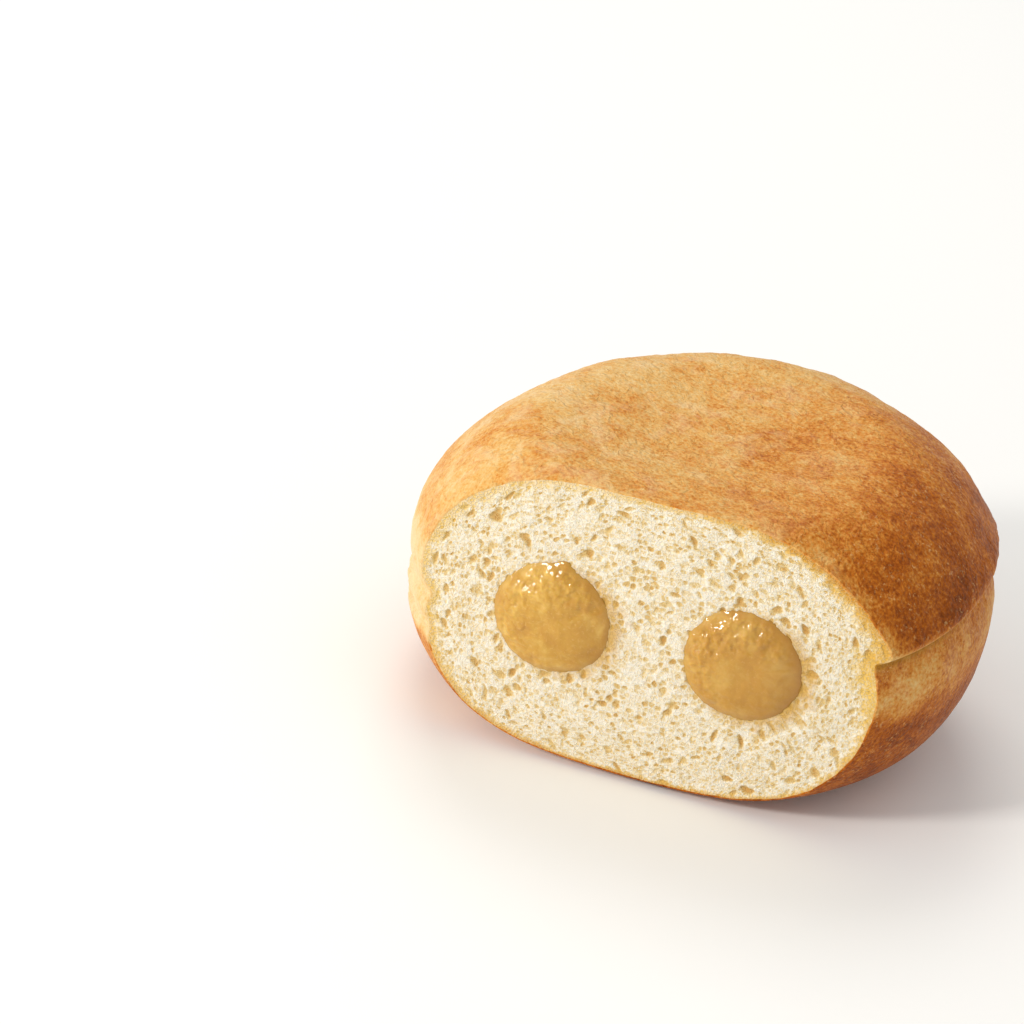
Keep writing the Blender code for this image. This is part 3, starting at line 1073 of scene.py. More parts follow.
@dataclass
class DoughBody:
    """The crust all round, with a thin browned rim at the cut and a recess behind it that holds the crumb."""

    form: BeignetForm = field(default_factory=BeignetForm)
    browning: Browning = field(default_factory=Browning)
    azimuth_steps: int = 400
    spacing: float = 0.00058
    fine_spacing: float = 0.00030
    fine_reach: float = 0.008
    knife_tolerance: float = 1e-7
    short_edge: float = 0.00012
    rim_width: float = 0.00026
    rim_change: float = 0.00012
    rim_length: float = 0.0025
    rim_browning: float = 0.90
    recess: float = 0.0035
    hole_radius: float = 0.0091
    hole_depth: float = 0.0375
    hole_steps: int = 72
    filling_centres: tuple = ((-0.0145, 0.0255), (0.0164, 0.0262))
    crease_tint: float = 0.75
    crease_reach: float = 0.0011

    def holes(self) -> dict[Side, tuple[float, float]]:
        """Gives the middle of each filling in the part's frame."""
        across, _, up = self.form.place
        return {side: (x + across, z + up) for side, (x, z) in zip(Side, self.filling_centres)}

    def build(self, material: bpy.types.Material) -> tuple[bpy.types.Object, CutSection]:
        """Makes the crust.

        Args:
            material: The crust's finish.

        Returns:
            The piece, and the section that the crumb fills.
        """
        bm = self.skin()
        border = self.open_cut(bm)
        border = self.rim(bm, border)
        section_border = flat_ring(border)
        self.close_recess(bm, border)
        bmesh.ops.recalc_face_normals(bm, faces=bm.faces)
        report(bm, "dough_body")
        section = CutSection(section_border, self.holes(), self.hole_radius)
        return finished_object(bm, "dough_body", material), section

    def skin(self) -> bmesh.types.BMesh:
        """Turns the outline round the axis and makes it uneven.

        Returns:
            A mesh of the whole beignet's skin, with its attributes.
        """
        rows = self.form.profile(self.spacing, self.fine_spacing, self.fine_reach)
        places = [(radius, 0.0, height) for radius, height in rows]
        bm = turned(places, (0.0, 0.0, 1.0), self.azimuth_steps)
        even = read_points(bm)
        offset = even[:, 2] - self.form.crease_height
        moved = self.form.uneven(even)
        azimuth = np.arctan2(even[:, 1], even[:, 0])
        # The crease under the lip is painted darker: partly the dough's olive colour there, partly painted
        # shade where the lip overhangs.
        near = np.exp(-((offset / self.crease_reach) ** 2))
        crease = self.crease_tint * self.form.lip_share(azimuth) * near
        # The browning layer holds painted shade and a painted sheen as well as the frying's colour.
        write_layer(bm, "browning", self.browning.tone(self.form, moved, offset))
        write_layer(bm, "crease", crease)
        write_points(bm, moved)
        return bm

    def open_cut(self, bm: bmesh.types.BMesh) -> list[bmesh.types.BMVert]:
        """Takes away the slice in front of the knife.

        Args:
            bm: The whole skin.

        Returns:
            The points of the cut's border in order.
        """
        geometry = bm.verts[:] + bm.edges[:] + bm.faces[:]
        bmesh.ops.bisect_plane(
            bm,
            geom=geometry,
            dist=self.knife_tolerance,
            plane_co=(0.0, self.form.cut_y, 0.0),
            plane_no=(0.0, -1.0, 0.0),
            clear_outer=True,
        )
        border = sorted((vert for vert in bm.verts if vert.is_boundary), key=lambda vert: tuple(vert.co))
        bmesh.ops.remove_doubles(bm, verts=border, dist=self.short_edge)
        return ring_in_order([edge for edge in bm.edges if edge.is_boundary])

    def rim(self, bm: bmesh.types.BMesh, border: list) -> list[bmesh.types.BMVert]:
        """Adds the thin cut edge of the crust, which lies in the knife's plane.

        Args:
            bm: The opened skin.
            border: The points of its border in order.

        Returns:
            The points of the rim's inner border in order.
        """
        flat = flat_ring(border)
        inward = inward_of_ring(flat, RING_REACH)
        rows = in_plane(flat[:, 0], flat[:, 1])
        width = self.rim_width + self.rim_change * noise_at(rows, self.rim_length, 2)
        inner = flat + inward * width[:, None]
        ring = extruded_ring(bm, border)
        browning = bm.verts.layers.float["browning"]
        for vert, place in zip(ring, inner.tolist()):
            vert.co.x = place[0]
            vert.co.z = place[1]
            vert[browning] = self.rim_browning * vert[browning]
        for edge in edges_of_ring(bm, border) + edges_of_ring(bm, ring):
            edge.smooth = False
        return ring

    def close_recess(self, bm: bmesh.types.BMesh, border: list) -> None:
        """Sets the recess back from the rim and closes it, with a deep hole for each filling.

        Args:
            bm: The mesh with its rim.
            border: The points of the rim's inner border in order.
        """
        floor = extruded_ring(bm, border)
        for vert in floor:
            vert.co.y += self.recess
        edges = edges_of_ring(bm, floor)
        rings = []
        for x, z in self.holes().values():
            middle = Matrix.Translation((x, self.form.cut_y + self.recess, z))
            place = middle @ Matrix.Rotation(math.pi / 2, 4, "X")
            made = bmesh.ops.create_circle(
                bm, cap_ends=False, segments=self.hole_steps, radius=self.hole_radius, matrix=place
            )
            rings.append(ring_in_order(list({edge for vert in made["verts"] for edge in vert.link_edges})))
        for ring in rings:
            edges += edges_of_ring(bm, ring)
        fill_between(bm, edges)
        for ring in rings:
            end = extruded_ring(bm, ring)
            for vert in end:
                vert.co.y += self.hole_depth - self.recess
            bmesh.ops.edgeloop_fill(bm, edges=edges_of_ring(bm, end))


def edges_of_ring(bm: bmesh.types.BMesh, ring: list) -> list[bmesh.types.BMEdge]:
    """Gives the edges between a closed ring's points."""
    return [bm.edges.get(pair) for pair in zip(ring, ring[1:] + ring[:1])]


def extruded_ring(bm: bmesh.types.BMesh, ring: list) -> list[bmesh.types.BMVert]:
    """Extrudes a closed ring of border points.

    Args:
        bm: The mesh.
        ring: The points in order.

    Returns:
        The new points, in the same order and at the same places.
    """
    made = bmesh.ops.extrude_edge_only(bm, edges=edges_of_ring(bm, ring))["geom"]
    fresh = {item for item in made if isinstance(item, bmesh.types.BMVert)}
    new_ring = []
    for vert in ring:
        others = (edge.other_vert(vert) for edge in vert.link_edges)
        new_ring.append(next(other for other in others if other in fresh))
    return new_ring


def fill_between(bm: bmesh.types.BMesh, edges: list[bmesh.types.BMEdge]) -> None:
    """Fills flat rings with triangles, in millimetres, because the operator is too coarse in metres.

    Args:
        bm: The mesh.
        edges: The edges of the outer ring and of the holes in it.
    """
    bmesh.ops.scale(bm, vec=(1.0 / MILLIMETRE,) * 3, verts=bm.verts)
    bmesh.ops.triangle_fill(bm, use_beauty=True, edges=edges)
    bmesh.ops.scale(bm, vec=(MILLIMETRE,) * 3, verts=bm.verts)


def report(bm: bmesh.types.BMesh, name: str) -> None:
    """Logs a piece's size and whether it is closed, with all its faces turned the same way."""
    triangles = sum(len(face.verts) - 2 for face in bm.faces)
    ragged = sum(1 for edge in bm.edges if not edge.is_contiguous)
    log.info("%s: %d triangles, %d edges without two faces that agree", name, triangles, ragged)


@dataclass(frozen=True)
class Hollow:
    """One larger cell of the crumb in the cut: its middle, radius, stretch, lean and how open it is."""

    x: float
    z: float
    radius: float
    stretch: float = 1.2
    lean: float = 0.0
    depth_share: float = 0.7


@dataclass
class PoreField:
    """The crumb's cells as the knife opened them: seeded foam, drawn out along the crust, and hollows."""

    section: CutSection
    seed: int = 23
    cell: float = 0.0001
    foam_spacing: float = 0.00105
    foam_squeeze: float = 0.36
    foam_wall: float = 0.36
    foam_depths: tuple = (0.00003, 0.00012, 0.00022, 0.00034, 0.00048)
    foam_shares: tuple = (0.24, 0.28, 0.26, 0.15, 0.07)
    medium_count: int = 430
    medium_sizes: tuple = (0.00036, 0.00074)
    medium_stretch: float = 1.7
    medium_crowding: float = 1.5
    medium_depth_share: float = 0.8
    medium_depth_range: tuple = (0.6, 1.2)
    lean_along: float = 1.7
    lean_spread: float = 0.45
    border_stretch: float = 1.3
    border_power: int = 5
    strand_reach: tuple = (0.0095, 0.0185)
    strand_angles: tuple = (math.radians(-105.0), math.radians(-25.0))
    strand_stretch: float = 2.6
    strand_spread: float = 0.12
    wobbles: tuple = (0.14, 0.10)
    press_reach: float = 1.35
    border_gap: float = 0.6
    bowl_power: float = 0.34
    foam_jitter: float = 0.42
    foam_range: tuple = (0.8, 1.2)
    hollows: tuple = (
        Hollow(-0.0290, 0.0270, 0.0011, 1.9, 1.5, 0.30),
        Hollow(-0.0275, 0.0405, 0.0010, 1.5, 0.1, 0.62),
        Hollow(-0.0225, 0.0385, 0.0008, 1.2, 1.4, 0.75),
        Hollow(-0.0120, 0.0385, 0.0008, 1.3, 0.0, 0.80),
        Hollow(-0.0270, 0.0300, 0.0007, 1.9, 1.3, 0.75),
        Hollow(-0.0315, 0.0400, 0.0006, 2.0, 0.7, 0.80),
        Hollow(-0.0350, 0.0350, 0.0006, 2.8, 1.1, 0.90),
        Hollow(0.0255, 0.0280, 0.0009, 1.3, -0.6, 0.75),
        Hollow(0.0245, 0.0250, 0.0009, 1.5, 1.3, 0.55),
        Hollow(0.0250, 0.0305, 0.0007, 1.2, 0.2, 0.60),
        Hollow(0.0200, 0.0360, 0.0007, 1.3, -0.7, 0.85),
        Hollow(0.0185, 0.0375, 0.0008, 1.1, 0.4, 0.70),
        Hollow(0.0310, 0.0155, 0.0008, 1.4, 1.2, 0.55),
        Hollow(0.0285, 0.0110, 0.0009, 1.3, 1.3, 0.60),
        Hollow(0.0185, 0.0045, 0.0009, 1.5, 0.2, 0.75),
        Hollow(0.0250, 0.0085, 0.0008, 1.2, 0.3, 0.60),
        Hollow(0.0185, 0.0140, 0.0008, 1.6, 1.5, 0.40),
        Hollow(0.0215, 0.0415, 0.0008, 2.6, -0.9, 0.60),
        Hollow(-0.0280, 0.0140, 0.0008, 1.5, -1.1, 0.65),
        Hollow(-0.0235, 0.0130, 0.0008, 1.4, -0.8, 0.60),
        Hollow(-0.0220, 0.0105, 0.0008, 1.6, -0.6, 0.60),
        Hollow(-0.0190, 0.0425, 0.0006, 1.3, 0.2, 0.70),
        Hollow(-0.0100, 0.0430, 0.0006, 1.2, 0.3, 0.50),
        Hollow(-0.0160, 0.0155, 0.0006, 1.4, 0.0, 0.60),
        Hollow(0.0335, 0.0340, 0.0008, 1.3, 0.8, 0.80),
        Hollow(0.0160, 0.0400, 0.0006, 1.6, -0.6, 0.60),
        Hollow(0.0325, 0.0235, 0.0006, 1.5, 1.2, 0.75),
    )
    raster: np.ndarray = field(init=False)
    low: np.ndarray = field(init=False)

    def __post_init__(self) -> None:
        """Draws the medium and the larger hollows onto a fine raster of depths."""
        self.low = self.section.border.min(axis=0) - 0.001
        high = self.section.border.max(axis=0) + 0.001
        counts = np.ceil((high - self.low) / self.cell).astype(int)
        self.raster = np.zeros((counts[0], counts[1]))
        rng = random.Random(self.seed)
        for hollow in self.hollows:
            self.press(hollow, rng.uniform(0.0, math.tau))
        made = 0
        while made < self.medium_count:
            x = rng.uniform(self.low[0], high[0])
            z = rng.uniform(self.low[1], high[1])
            hollow = self.medium(rng, x, z)
            wobble = rng.uniform(0.0, math.tau)
            if self.free(x, z, hollow.radius):
                self.press(hollow, wobble)
                made += 1

    def free(self, x: float, z: float, radius: float) -> bool:
        """Tells whether a place is crumb that no hollow has taken yet."""
        column = int((x - self.low[0]) / self.cell)
        row = int((z - self.low[1]) / self.cell)
        inside = self.section.inside(np.array([x]), np.array([z]), self.border_gap * radius)[0]
        return bool(inside and self.raster[column, row] == 0.0)

    def medium(self, rng: random.Random, x: float, z: float) -> Hollow:
        """Draws a cell's size and lean, along the crust or, in the strands, away from the filling.

        Args:
            rng: The seeded source of chance.
            x: The cell's distance to the right.
            z: Its height.

        Returns:
            The cell.
        """
        smallest, largest = self.medium_sizes
        radius = smallest + (largest - smallest) * rng.random() ** self.medium_crowding
        stretch = 1.0 + (self.medium_stretch - 1.0) * rng.random()
        share = self.section.border_share(np.array([x]), np.array([z]))[0]
        stretch += self.border_stretch * share**self.border_power
        angle = self.section.angles(np.array([x]), np.array([z]))[0]
        lean = math.atan2(math.cos(angle) * self.lean_along, -math.sin(angle))
        lean += rng.gauss(0.0, self.lean_spread)
        off_x = x - self.section.holes[Side.RIGHT][0]
        off_z = z - self.section.holes[Side.RIGHT][1]
        around = math.atan2(off_z, off_x)
        in_strands = self.strand_reach[0] < math.hypot(off_x, off_z) < self.strand_reach[1]
        if in_strands and self.strand_angles[0] < around < self.strand_angles[1]:
            lean = around + rng.gauss(0.0, self.strand_spread)
            stretch = self.strand_stretch
        depth_share = self.medium_depth_share * rng.uniform(*self.medium_depth_range)
        return Hollow(x, z, radius, stretch, lean, depth_share)

    def press(self, hollow: Hollow, wobble: float) -> None:
        """Draws one hollow onto the raster.

        Args:
            hollow: The hollow.
            wobble: Where its unevenness starts.
        """
        long_radius = hollow.radius * math.sqrt(hollow.stretch)
        short_radius = hollow.radius / math.sqrt(hollow.stretch)
        column = int((hollow.x - self.low[0]) / self.cell)
        row = int((hollow.z - self.low[1]) / self.cell)
        reach = int(self.press_reach * long_radius / self.cell) + 2
        columns = np.arange(max(column - reach, 0), min(column + reach, self.raster.shape[0]))
        rows = np.arange(max(row - reach, 0), min(row + reach, self.raster.shape[1]))
        across = (columns * self.cell + self.low[0] - hollow.x)[:, None]
        up = (rows * self.cell + self.low[1] - hollow.z)[None, :]
        along = (across * math.cos(hollow.lean) + up * math.sin(hollow.lean)) / long_radius
        aside = (up * math.cos(hollow.lean) - across * math.sin(hollow.lean)) / short_radius
        turn = np.arctan2(aside, along)
        uneven = 1.0 + self.wobbles[0] * np.cos(2.0 * turn + wobble)
        uneven = uneven + self.wobbles[1] * np.cos(3.0 * turn + 2.0 * wobble)
        inner = np.clip(1.0 - (along**2 + aside**2) * uneven**2, 0.0, 1.0)
        bowl = hollow.radius * hollow.depth_share * inner**self.bowl_power
        window = self.raster[columns[0] : columns[-1] + 1, rows[0] : rows[-1] + 1]
        np.maximum(window, bowl, out=window)

    def hollow_depth(self, x: np.ndarray, z: np.ndarray) -> np.ndarray:
        """Reads the depth of the hollows.

        Args:
            x: Each place's distance to the right.
            z: Each place's height.

        Returns:
            How deep the hollows are there.
        """
        column = np.clip((x - self.low[0]) / self.cell, 0.0, self.raster.shape[0] - 1.001)
        row = np.clip((z - self.low[1]) / self.cell, 0.0, self.raster.shape[1] - 1.001)
        c, r = column.astype(int), row.astype(int)
        u, v = column - c, row - r
        lower = self.raster[c, r] * (1.0 - u) + self.raster[c + 1, r] * u
        upper = self.raster[c, r + 1] * (1.0 - u) + self.raster[c + 1, r + 1] * u
        return lower * (1.0 - v) + upper * v

    def foam_depth(self, x: np.ndarray, z: np.ndarray) -> np.ndarray:
        """Works out the small cells, each a shallow or a deep bowl between thin walls.

        Args:
            x: Each place's distance to the right.
            z: Each place's height.

        Returns:
            How deep the small cells are there.
        """
        share = self.section.border_share(x, z)
        grow = 1.0 + self.foam_squeeze * share**3
        across = (x - self.section.middle[0]) * grow
        up = (z - self.section.middle[1]) * grow
        rng = random.Random(self.seed + 1)
        low = np.array([across.min(), up.min()]) - self.foam_spacing
        high = np.array([across.max(), up.max()]) + self.foam_spacing
        counts = np.ceil((high - low) / self.foam_spacing).astype(int)
        seeds = kdtree.KDTree(int(counts[0] * counts[1]))
        depths = []
        for column in range(counts[0]):
            for row in range(counts[1]):
                jitter = [rng.uniform(-self.foam_jitter, self.foam_jitter) for _ in range(2)]
                place = low + (np.array([column, row]) + jitter) * self.foam_spacing
                seeds.insert((place[0], place[1], 0.0), len(depths))
                depth = rng.choices(self.foam_depths, self.foam_shares)[0]
                depths.append(depth * rng.uniform(*self.foam_range))
        seeds.balance()
        found = [seeds.find_n((a, b, 0.0), 2) for a, b in zip(across.tolist(), up.tolist())]
        nearest = np.array([pair[0][2] for pair in found])
        second = np.array([pair[1][2] for pair in found])
        depth = np.array([depths[pair[0][1]] for pair in found])
        return depth * smooth_step((second - nearest) / (second + nearest) / self.foam_wall)


@dataclass(frozen=True)
class BorderTint:
    """One place round the cut with how wide and how strongly the crumb turns to crust colour there."""

    degrees: float
    width: float
    strength: float
    amber: float


@dataclass
class Crumb:
    """The soft inside at the cut, a slab that stands in the crust's recess, full of small open cells."""

    section: CutSection
    cut_y: float
    spacing: float = 0.000178
    clearance: float = 0.3
    thickness: float = 0.0032
    taper: float = 0.00015
    undulation: float = 0.00022
    undulation_length: float = 0.0050
    fuzz: float = 0.00005
    fuzz_length: float = 0.0006
    border_fade: float = 0.00025
    level_reach: float = 0.0016
    border_press: float = 0.25
    foam_press: float = 0.30
    hollow_press: float = 0.65
    deepest: float = 0.00070
    skin_hold: float = 0.25
    skin_ragged: float = 0.75
    skin_ragged_length: float = 0.0014
    amber_width: float = 0.75
    soak_width: float = 0.0021
    soak_widths: tuple = (0.35, 1.1)
    soak_blur: float = 1.4
    soak_ragged: float = 0.35
    soak_ragged_length: float = 0.0018
    soak_sides: tuple = ((Side.LEFT, 0.0, 0.50), (Side.RIGHT, -15.0, 0.65))
    soak_all_round: float = 0.36
    tints: tuple = (
        BorderTint(-180.0, 0.0020, 0.80, 0.15),
        BorderTint(-150.0, 0.0020, 0.90, 0.50),
        BorderTint(-115.0, 0.0009, 0.90, 0.80),
        BorderTint(-70.0, 0.0008, 0.90, 0.85),
        BorderTint(-30.0, 0.0010, 0.90, 0.65),
        BorderTint(-8.0, 0.0018, 0.85, 0.30),
        BorderTint(4.0, 0.0052, 1.00, 0.18),
        BorderTint(14.0, 0.0040, 1.00, 0.55),
        BorderTint(35.0, 0.0028, 1.00, 1.00),
        BorderTint(55.0, 0.0020, 1.00, 0.85),
        BorderTint(85.0, 0.0012, 0.75, 0.30),
        BorderTint(115.0, 0.0018, 0.60, 0.15),
        BorderTint(145.0, 0.0028, 0.55, 0.15),
        BorderTint(165.0, 0.0024, 0.70, 0.15),
        BorderTint(180.0, 0.0020, 0.80, 0.15),
    )

    def build(self, material: bpy.types.Material) -> bpy.types.Object:
        """Makes the crumb.

        Args:
            material: The crumb's finish.

        Returns:
            The piece.
        """
        bm = self.sheet()
        rings = self.trimmed_rings(bm)
        front = len(bm.verts)
        back_edges = []
        for ring in rings:
            for edge in edges_of_ring(bm, ring):
                edge.smooth = False
            back = extruded_ring(bm, ring)
            flat = flat_ring(back)
            side = self.side_of(flat)
            shift = inward_of_ring(flat, RING_REACH) * (self.taper if side is None else -self.taper)
            for vert, (across, up) in zip(back, shift.tolist()):
                vert.co += Vector((across, self.thickness, up))
            back_edges += edges_of_ring(bm, back)
        self.open_cells(bm, front)
        fill_between(bm, back_edges)
        bmesh.ops.recalc_face_normals(bm, faces=bm.faces)
        report(bm, "dough_crumb")
        return finished_object(bm, "dough_crumb", material)

    def sheet(self) -> bmesh.types.BMesh:
        """Makes a fine flat grid in the knife's plane, without what lies outside the section.

        Returns:
            The grid with ragged borders.
        """
        low = self.section.border.min(axis=0)
        size = self.section.border.max(axis=0) - low
        counts = np.ceil(size / self.spacing).astype(int)
        bm = bmesh.new()
        bmesh.ops.create_grid(bm, x_segments=int(counts[0]), y_segments=int(counts[1]), size=1.0)
        grid = read_points(bm)
        share = (grid[:, :2] - grid[:, :2].min(axis=0)) / np.ptp(grid[:, :2], axis=0)
        flat = low + share * size
        write_points(bm, np.stack([flat[:, 0], np.full(len(flat), self.cut_y), flat[:, 1]], axis=1))
        kept = self.section.inside(flat[:, 0], flat[:, 1], self.clearance * self.spacing)
        for side in Side:
            kept &= self.section.from_hole(side, flat[:, 0], flat[:, 1]) > self.section.hole_radius
        outside = [vert for vert, keep in zip(bm.verts, kept.tolist()) if not keep]
        bmesh.ops.delete(bm, geom=outside, context="VERTS")
        loose = [vert for vert in bm.verts if not vert.link_faces]
        bmesh.ops.delete(bm, geom=loose, context="VERTS")
        return bm

    def trimmed_rings(self, bm: bmesh.types.BMesh) -> list[list[bmesh.types.BMVert]]:
        """Draws the grid's ragged borders onto the section's border and the fillings' holes.

        Args:
            bm: The grid.

        Returns:
            Each border's points in order.
        """
        left = {edge for edge in bm.edges if edge.is_boundary}
        rings = []
        while left:
            start = next(iter(left))
            ring_edges = {start}
            waiting = [start]
            while waiting:
                edge = waiting.pop()
                for vert in edge.verts:
                    for other in vert.link_edges:
                        if other in left and other not in ring_edges:
                            ring_edges.add(other)
                            waiting.append(other)
            left -= ring_edges
            rings.append(ring_in_order(list(ring_edges)))
        rings.sort(key=lambda ring: tuple(ring[0].co))
        for ring in rings:
            flat = flat_ring(ring)
            side = self.side_of(flat)
            if side is None:
                target = self.section.along_border(flat)
            else:
                x, z = self.section.holes[side]
                turns = one_way_round(np.arctan2(flat[:, 1] - z, flat[:, 0] - x))
                radius = self.section.hole_radius
                target = np.stack([x + radius * np.cos(turns), z + radius * np.sin(turns)], axis=1)
            for vert, place in zip(ring, target.tolist()):
                vert.co.x = place[0]
                vert.co.z = place[1]
        return rings

    def side_of(self, flat: np.ndarray) -> Side | None:
        """Tells which filling a border runs round, or that it is the outer one."""
        for side in Side:
            if self.section.from_hole(side, flat[:, 0], flat[:, 1]).max() < 1.5 * self.section.hole_radius:
                return side
        return None

    def open_cells(self, bm: bmesh.types.BMesh, front: int) -> None:
        """Presses the cells into the front, and notes how each place is coloured, with painted shade the
        deeper a cell is.

        Args:
            bm: The slab.
            front: How many of its points are in front.
        """
        points = read_points(bm)
        x, z = points[:, 0], points[:, 2]
        index, distance = self.section.nearest(x, z)
        flat = in_plane(x, z)
        fade = smooth_step(distance / self.border_fade)
        level = smooth_step(distance / self.level_reach)
        field_of_pores = PoreField(self.section)
        foam = field_of_pores.foam_depth(x, z) * fade
        hollows = field_of_pores.hollow_depth(x, z) * fade
        pores = np.maximum(foam, hollows)
        press = np.maximum(self.foam_press * foam, self.hollow_press * hollows)
        press = press * (self.border_press + (1.0 - self.border_press) * level)
        press = press + self.undulation * (0.5 + noise_at(flat, self.undulation_length, 2)) * level
        press = press + self.fuzz * noise_at(flat, self.fuzz_length, 2) * fade
        press[front:] = 0.0
        points[:, 1] += press
        write_points(bm, points)
        # Painted shade: the deeper a cell, the darker and more tan its colour.
        write_layer(bm, "pore", np.clip(pores / self.deepest, 0.0, 1.0))
        skin, amber = self.border_shares(index, distance, flat)
        write_layer(bm, "skin", skin)
        write_layer(bm, "amber", amber)
        write_layer(bm, "soak", self.soak_share(x, z, flat))

    def border_shares(
        self, index: np.ndarray, distance: np.ndarray, flat: np.ndarray
    ) -> tuple[np.ndarray, np.ndarray]:
        """Tells how far each place has turned yellow and amber under the crust.

        Args:
            index: Each place's nearest border point.
            distance: How far away that is.
            flat: The places themselves.

        Returns:
            The yellow share and the amber share, from 0 to 1.
        """
        degrees = np.degrees(self.section.angles(*self.section.border[index].T))
        places, *columns = zip(*(astuple(tint) for tint in self.tints))
        width, strength, amber = (np.interp(degrees, places, column) for column in columns)
        ragged = 1.0 + self.skin_ragged * noise_at(flat, self.skin_ragged_length, 3)
        reach = distance / (width * ragged)
        skin = strength * (1.0 - smooth_step((reach - self.skin_hold) / (1.0 - self.skin_hold)))
        return skin, amber * (1.0 - smooth_step(reach / self.amber_width))

    def soak_share(self, x: np.ndarray, z: np.ndarray, flat: np.ndarray) -> np.ndarray:
        """Tells how far the crumb has taken up juice from the fillings.

        Args:
            x: Each place's distance to the right.
            z: Each place's height.
            flat: The places themselves.

        Returns:
            The share, from 0 to 1.
        """
        total = np.zeros_like(x)
        ragged = self.soak_ragged * noise_at(flat, self.soak_ragged_length, 3)
        for side, degrees, strength in self.soak_sides:
            away = self.section.from_hole(side, x, z) - self.section.hole_radius
            around = np.arctan2(z - self.section.holes[side][1], x - self.section.holes[side][0])
            towards = facing(around, degrees) ** 2
            reach = self.soak_width * (self.soak_widths[0] + self.soak_widths[1] * towards)
            wet = 1.0 - smooth_step(away / (reach * self.soak_blur) + ragged)
            total = np.maximum(total, wet * (self.soak_all_round + strength * towards))
        return np.clip(total, 0.0, 1.0)


@dataclass(frozen=True)
class Knob:
    """A small swelling of a filling's outline, by its direction, its width and how far it stands out."""

    degrees: float
    width: float
    height: float


@dataclass
class Compote:
    """One filling: a tongue of compote that stands a little out of the cut, rough where the knife dragged."""

    side: Side
    centre: tuple
    cut_y: float
    radius: float = 0.0097
    length: float = 0.0365
    steps: int = 300
    rings: int = 58
    ring_crowding: float = 0.9
    wall_depths: tuple = (0.0004, 0.0012, 0.0035, 0.010, 0.020)
    bulge: float = 0.0019
    sunk: float = 0.00034
    shoulder_power: float = 2.5
    shoulder_softness: float = 0.80
    outline_change: float = 0.035
    outline_length: float = 0.8
    outline_ripple: float = 0.016
    ripple_length: float = 0.16
    outline_radius: float = 0.9
    outline_fade: float = 0.010
    rough_height: float = 0.00050
    rough_length: float = 0.0017
    rough_degrees: float = 138.0
    rough_gain: float = 1.5
    calm_share: float = 0.22
    lump_fade: float = 0.20
    swell_height: float = 0.00028
    swell_length: float = 0.0048
    knobs: tuple = ()
    seed_shift: float = 0.0
    edge_width: float = 0.20
    edge_tints: tuple = (0.26, 0.14)
    shaded_degrees: float = -20.0
    amber: float = 0.10
    amber_change: float = 0.5

    def build(self, material: bpy.types.Material) -> bpy.types.Object:
        """Makes the filling.

        Args:
            material: The compote's finish.

        Returns:
            The piece.
        """
        shares = np.linspace(0.0, 1.0, self.rings) ** self.ring_crowding
        front = [(self.radius * share, 0.0, 0.0) for share in shares]
        wall = [(self.radius, depth, 0.0) for depth in (*self.wall_depths, self.length)]
        bm = turned(front + wall + [(0.0, self.length, 0.0)], (0.0, 1.0, 0.0), self.steps)
        self.shape(bm)
        bmesh.ops.recalc_face_normals(bm, faces=bm.faces)
        name = f"compote_{self.side.value}"
        report(bm, name)
        return finished_object(bm, name, material)

    def shape(self, bm: bmesh.types.BMesh) -> None:
        """Gives the turned tongue its uneven outline and its rough wet front, and moves it to its place.

        Args:
            bm: The turned tongue, its front in the plane y = 0.
        """
        points = read_points(bm)
        x, depth, z = points[:, 0].copy(), points[:, 1].copy(), points[:, 2].copy()
        around = np.arctan2(z, x)
        share = np.clip(np.hypot(x, z) / self.radius, 0.0, 1.0)
        shift = np.array([self.seed_shift, 0.0, 0.0])
        round_points = in_plane(np.cos(around), np.sin(around)) * self.outline_radius + shift
        grow = 1.0 + self.outline_change * noise_at(round_points, self.outline_length, 2)
        grow = grow + self.outline_ripple * noise_at(round_points, self.ripple_length, 2)
        for knob in self.knobs:
            turn = np.angle(np.exp(1j * (around - math.radians(knob.degrees))))
            grow = grow + knob.height / self.radius * np.exp(-((turn * self.radius / knob.width) ** 2))
        grow = 1.0 + (grow - 1.0) * np.clip(1.0 - depth / self.outline_fade, 0.0, 1.0)
        x, z = x * grow, z * grow
        flat = in_plane(x, z) + shift
        rough = smooth_step(facing(around, self.rough_degrees) * share * self.rough_gain)
        roughness = self.calm_share + (1.0 - self.calm_share) * rough
        lumps = self.rough_height * noise_at(flat, self.rough_length, 3) * roughness
        lumps = lumps + self.swell_height * noise_at(flat, self.swell_length, 2)
        level = np.clip(1.0 - share**self.shoulder_power, 0.0, 1.0)
        dome = (self.bulge + self.sunk) * level**self.shoulder_softness
        on_front = depth < TINY
        stand = dome - self.sunk + lumps * smooth_step((1.0 - share) / self.lump_fade)
        depth = np.where(on_front, -stand, depth + self.sunk)
        across, up = self.centre
        write_points(bm, np.stack([x + across, depth + self.cut_y, z + up], axis=1))
        # Painted shade: the rim is darker all round, and most towards the lower right.
        shaded = facing(around, self.shaded_degrees)
        edge = smooth_step((share - 1.0 + self.edge_width) / self.edge_width)
        write_layer(bm, "edge", edge * (self.edge_tints[0] + self.edge_tints[1] * shaded))
        # Painted shade: the amber deepens towards the lower right and fades towards the upper left.
        write_layer(bm, "amber", self.amber + self.amber_change * share * (shaded - 0.5))
        write_layer(bm, "rough", roughness)


@dataclass(frozen=True)
class SoftBox:
    """One lamp of the studio, a square of light: its place, its aim, its size, its power and its colour."""

    name: str
    place: tuple
    target: tuple
    side: float
    power: float
    colour: str

    def build(self) -> bpy.types.Object:
        """Puts the lamp into the scene."""
        light = bpy.data.lights.new(self.name, "AREA")
        light.shape = "SQUARE"
        light.size = self.side
        light.energy = self.power
        light.color = linear(self.colour)[:3]
        lamp = bpy.data.objects.new(self.name, light)
        lamp.location = self.place
        direction = Vector(self.target) - Vector(self.place)
        lamp.rotation_euler = direction.to_track_quat("-Z", "Y").to_euler()
        bpy.context.scene.collection.objects.link(lamp)
        return lamp


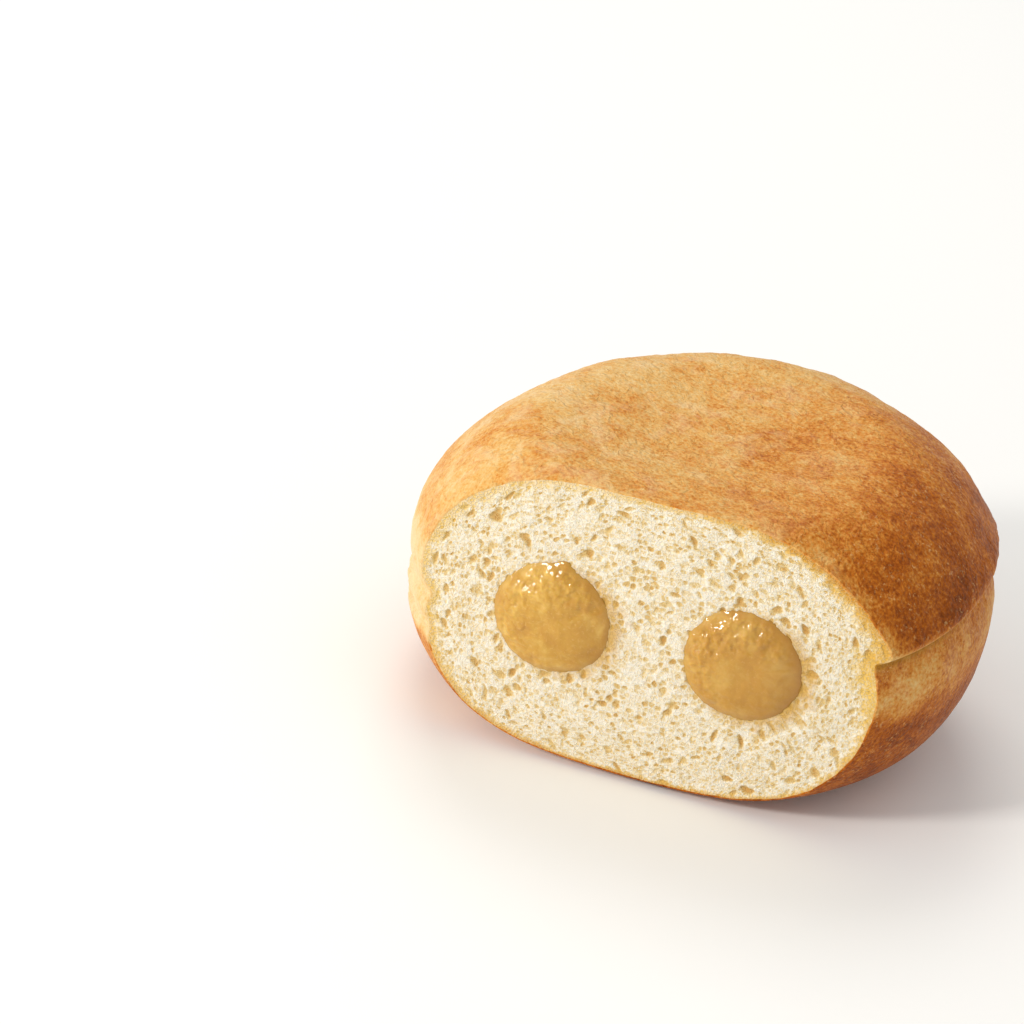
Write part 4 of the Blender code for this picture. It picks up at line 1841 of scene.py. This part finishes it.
@dataclass
class Studio:
    """A plain pale floor under soft lamps."""

    floor_radius: float = 1.6
    world_colour: str = "FFFFFF"
    world_strength: float = 0.62
    lamps: tuple = (
        SoftBox("key_lamp", (-0.56, -0.60, 0.46), (0.0, -0.02, 0.025), 0.15, 4.2, "FFFAF4"),
        SoftBox("side_lamp", (-0.78, -0.36, 0.16), (0.0, -0.03, 0.02), 0.07, 0.55, "FFFAF4"),
        SoftBox("back_lamp", (-0.22, 0.40, 0.70), (0.0, 0.0, 0.03), 0.40, 1.9, "FFFCF6"),
    )

    def build(self) -> None:
        """Lays the floor, hangs the lamps and lights the room round them."""
        bm = bmesh.new()
        bmesh.ops.create_circle(bm, cap_ends=True, segments=96, radius=self.floor_radius)
        floor = finished_object(bm, "studio_floor", StudioPaper().build(), smooth=False)
        for lamp in self.lamps:
            lamp.build()
        world = bpy.data.worlds.new("studio")
        world.use_nodes = True
        background = world.node_tree.nodes["Background"]
        background.inputs["Color"].default_value = linear(self.world_colour)
        background.inputs["Strength"].default_value = self.world_strength
        bpy.context.scene.world = world
        bpy.context.scene.view_settings.view_transform = "Standard"


@dataclass(frozen=True)
class PhotoCamera:
    """The camera as it stood for the photograph, found from the outlines of the cut and the whole beignet."""

    place: tuple = (0.11150, -0.53484, 0.32909)
    right: tuple = (0.94036118, 0.32137884, 0.11151902)
    up: tuple = (-0.24993962, 0.43034992, 0.86736909)
    lens: float = 134.92
    sensor: float = 36.0

    def build(self) -> bpy.types.Object:
        """Makes the camera and gives it to the scene."""
        data = bpy.data.cameras.new("photo_camera")
        data.lens = self.lens
        data.sensor_width = self.sensor
        data.clip_start = 0.01
        data.clip_end = 10.0
        camera = bpy.data.objects.new("photo_camera", data)
        right, up = Vector(self.right), Vector(self.up)
        axes = Matrix((right, up, right.cross(up))).transposed()
        camera.matrix_world = Matrix.Translation(self.place) @ axes.to_4x4()
        bpy.context.scene.collection.objects.link(camera)
        bpy.context.scene.camera = camera
        return camera


def fasten(piece: bpy.types.Object, node: str) -> None:
    """Ties a piece to the part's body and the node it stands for.

    Args:
        piece: The finished piece.
        node: The CAD node that it replaces.
    """
    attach(piece, "root")
    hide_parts(node)
    log.info("%s stands for %s", piece.name, node)


def main() -> None:
    logging.basicConfig(level=logging.INFO, format="%(name)s: %(message)s")
    body = DoughBody()
    crust, section = body.build(FriedCrust().build())
    fasten(crust, "dough")
    crumb = Crumb(section, body.form.cut_y).build(OpenCrumb().build())
    fasten(crumb, "dough")
    wet = WetCompote().build()
    knobs = {Side.LEFT: (Knob(84.0, 0.0015, 0.0011),), Side.RIGHT: ()}
    ambers = {Side.LEFT: 0.08, Side.RIGHT: 0.46}
    for number, side in enumerate(Side):
        tongue = Compote(side, section.holes[side], body.form.cut_y)
        tongue.knobs = knobs[side]
        tongue.amber = ambers[side]
        tongue.seed_shift = 0.4 * number
        fasten(tongue.build(wet), f"filling_{side.value}")
    Studio().build()
    PhotoCamera().build()


if __name__ == "__main__":
    main()
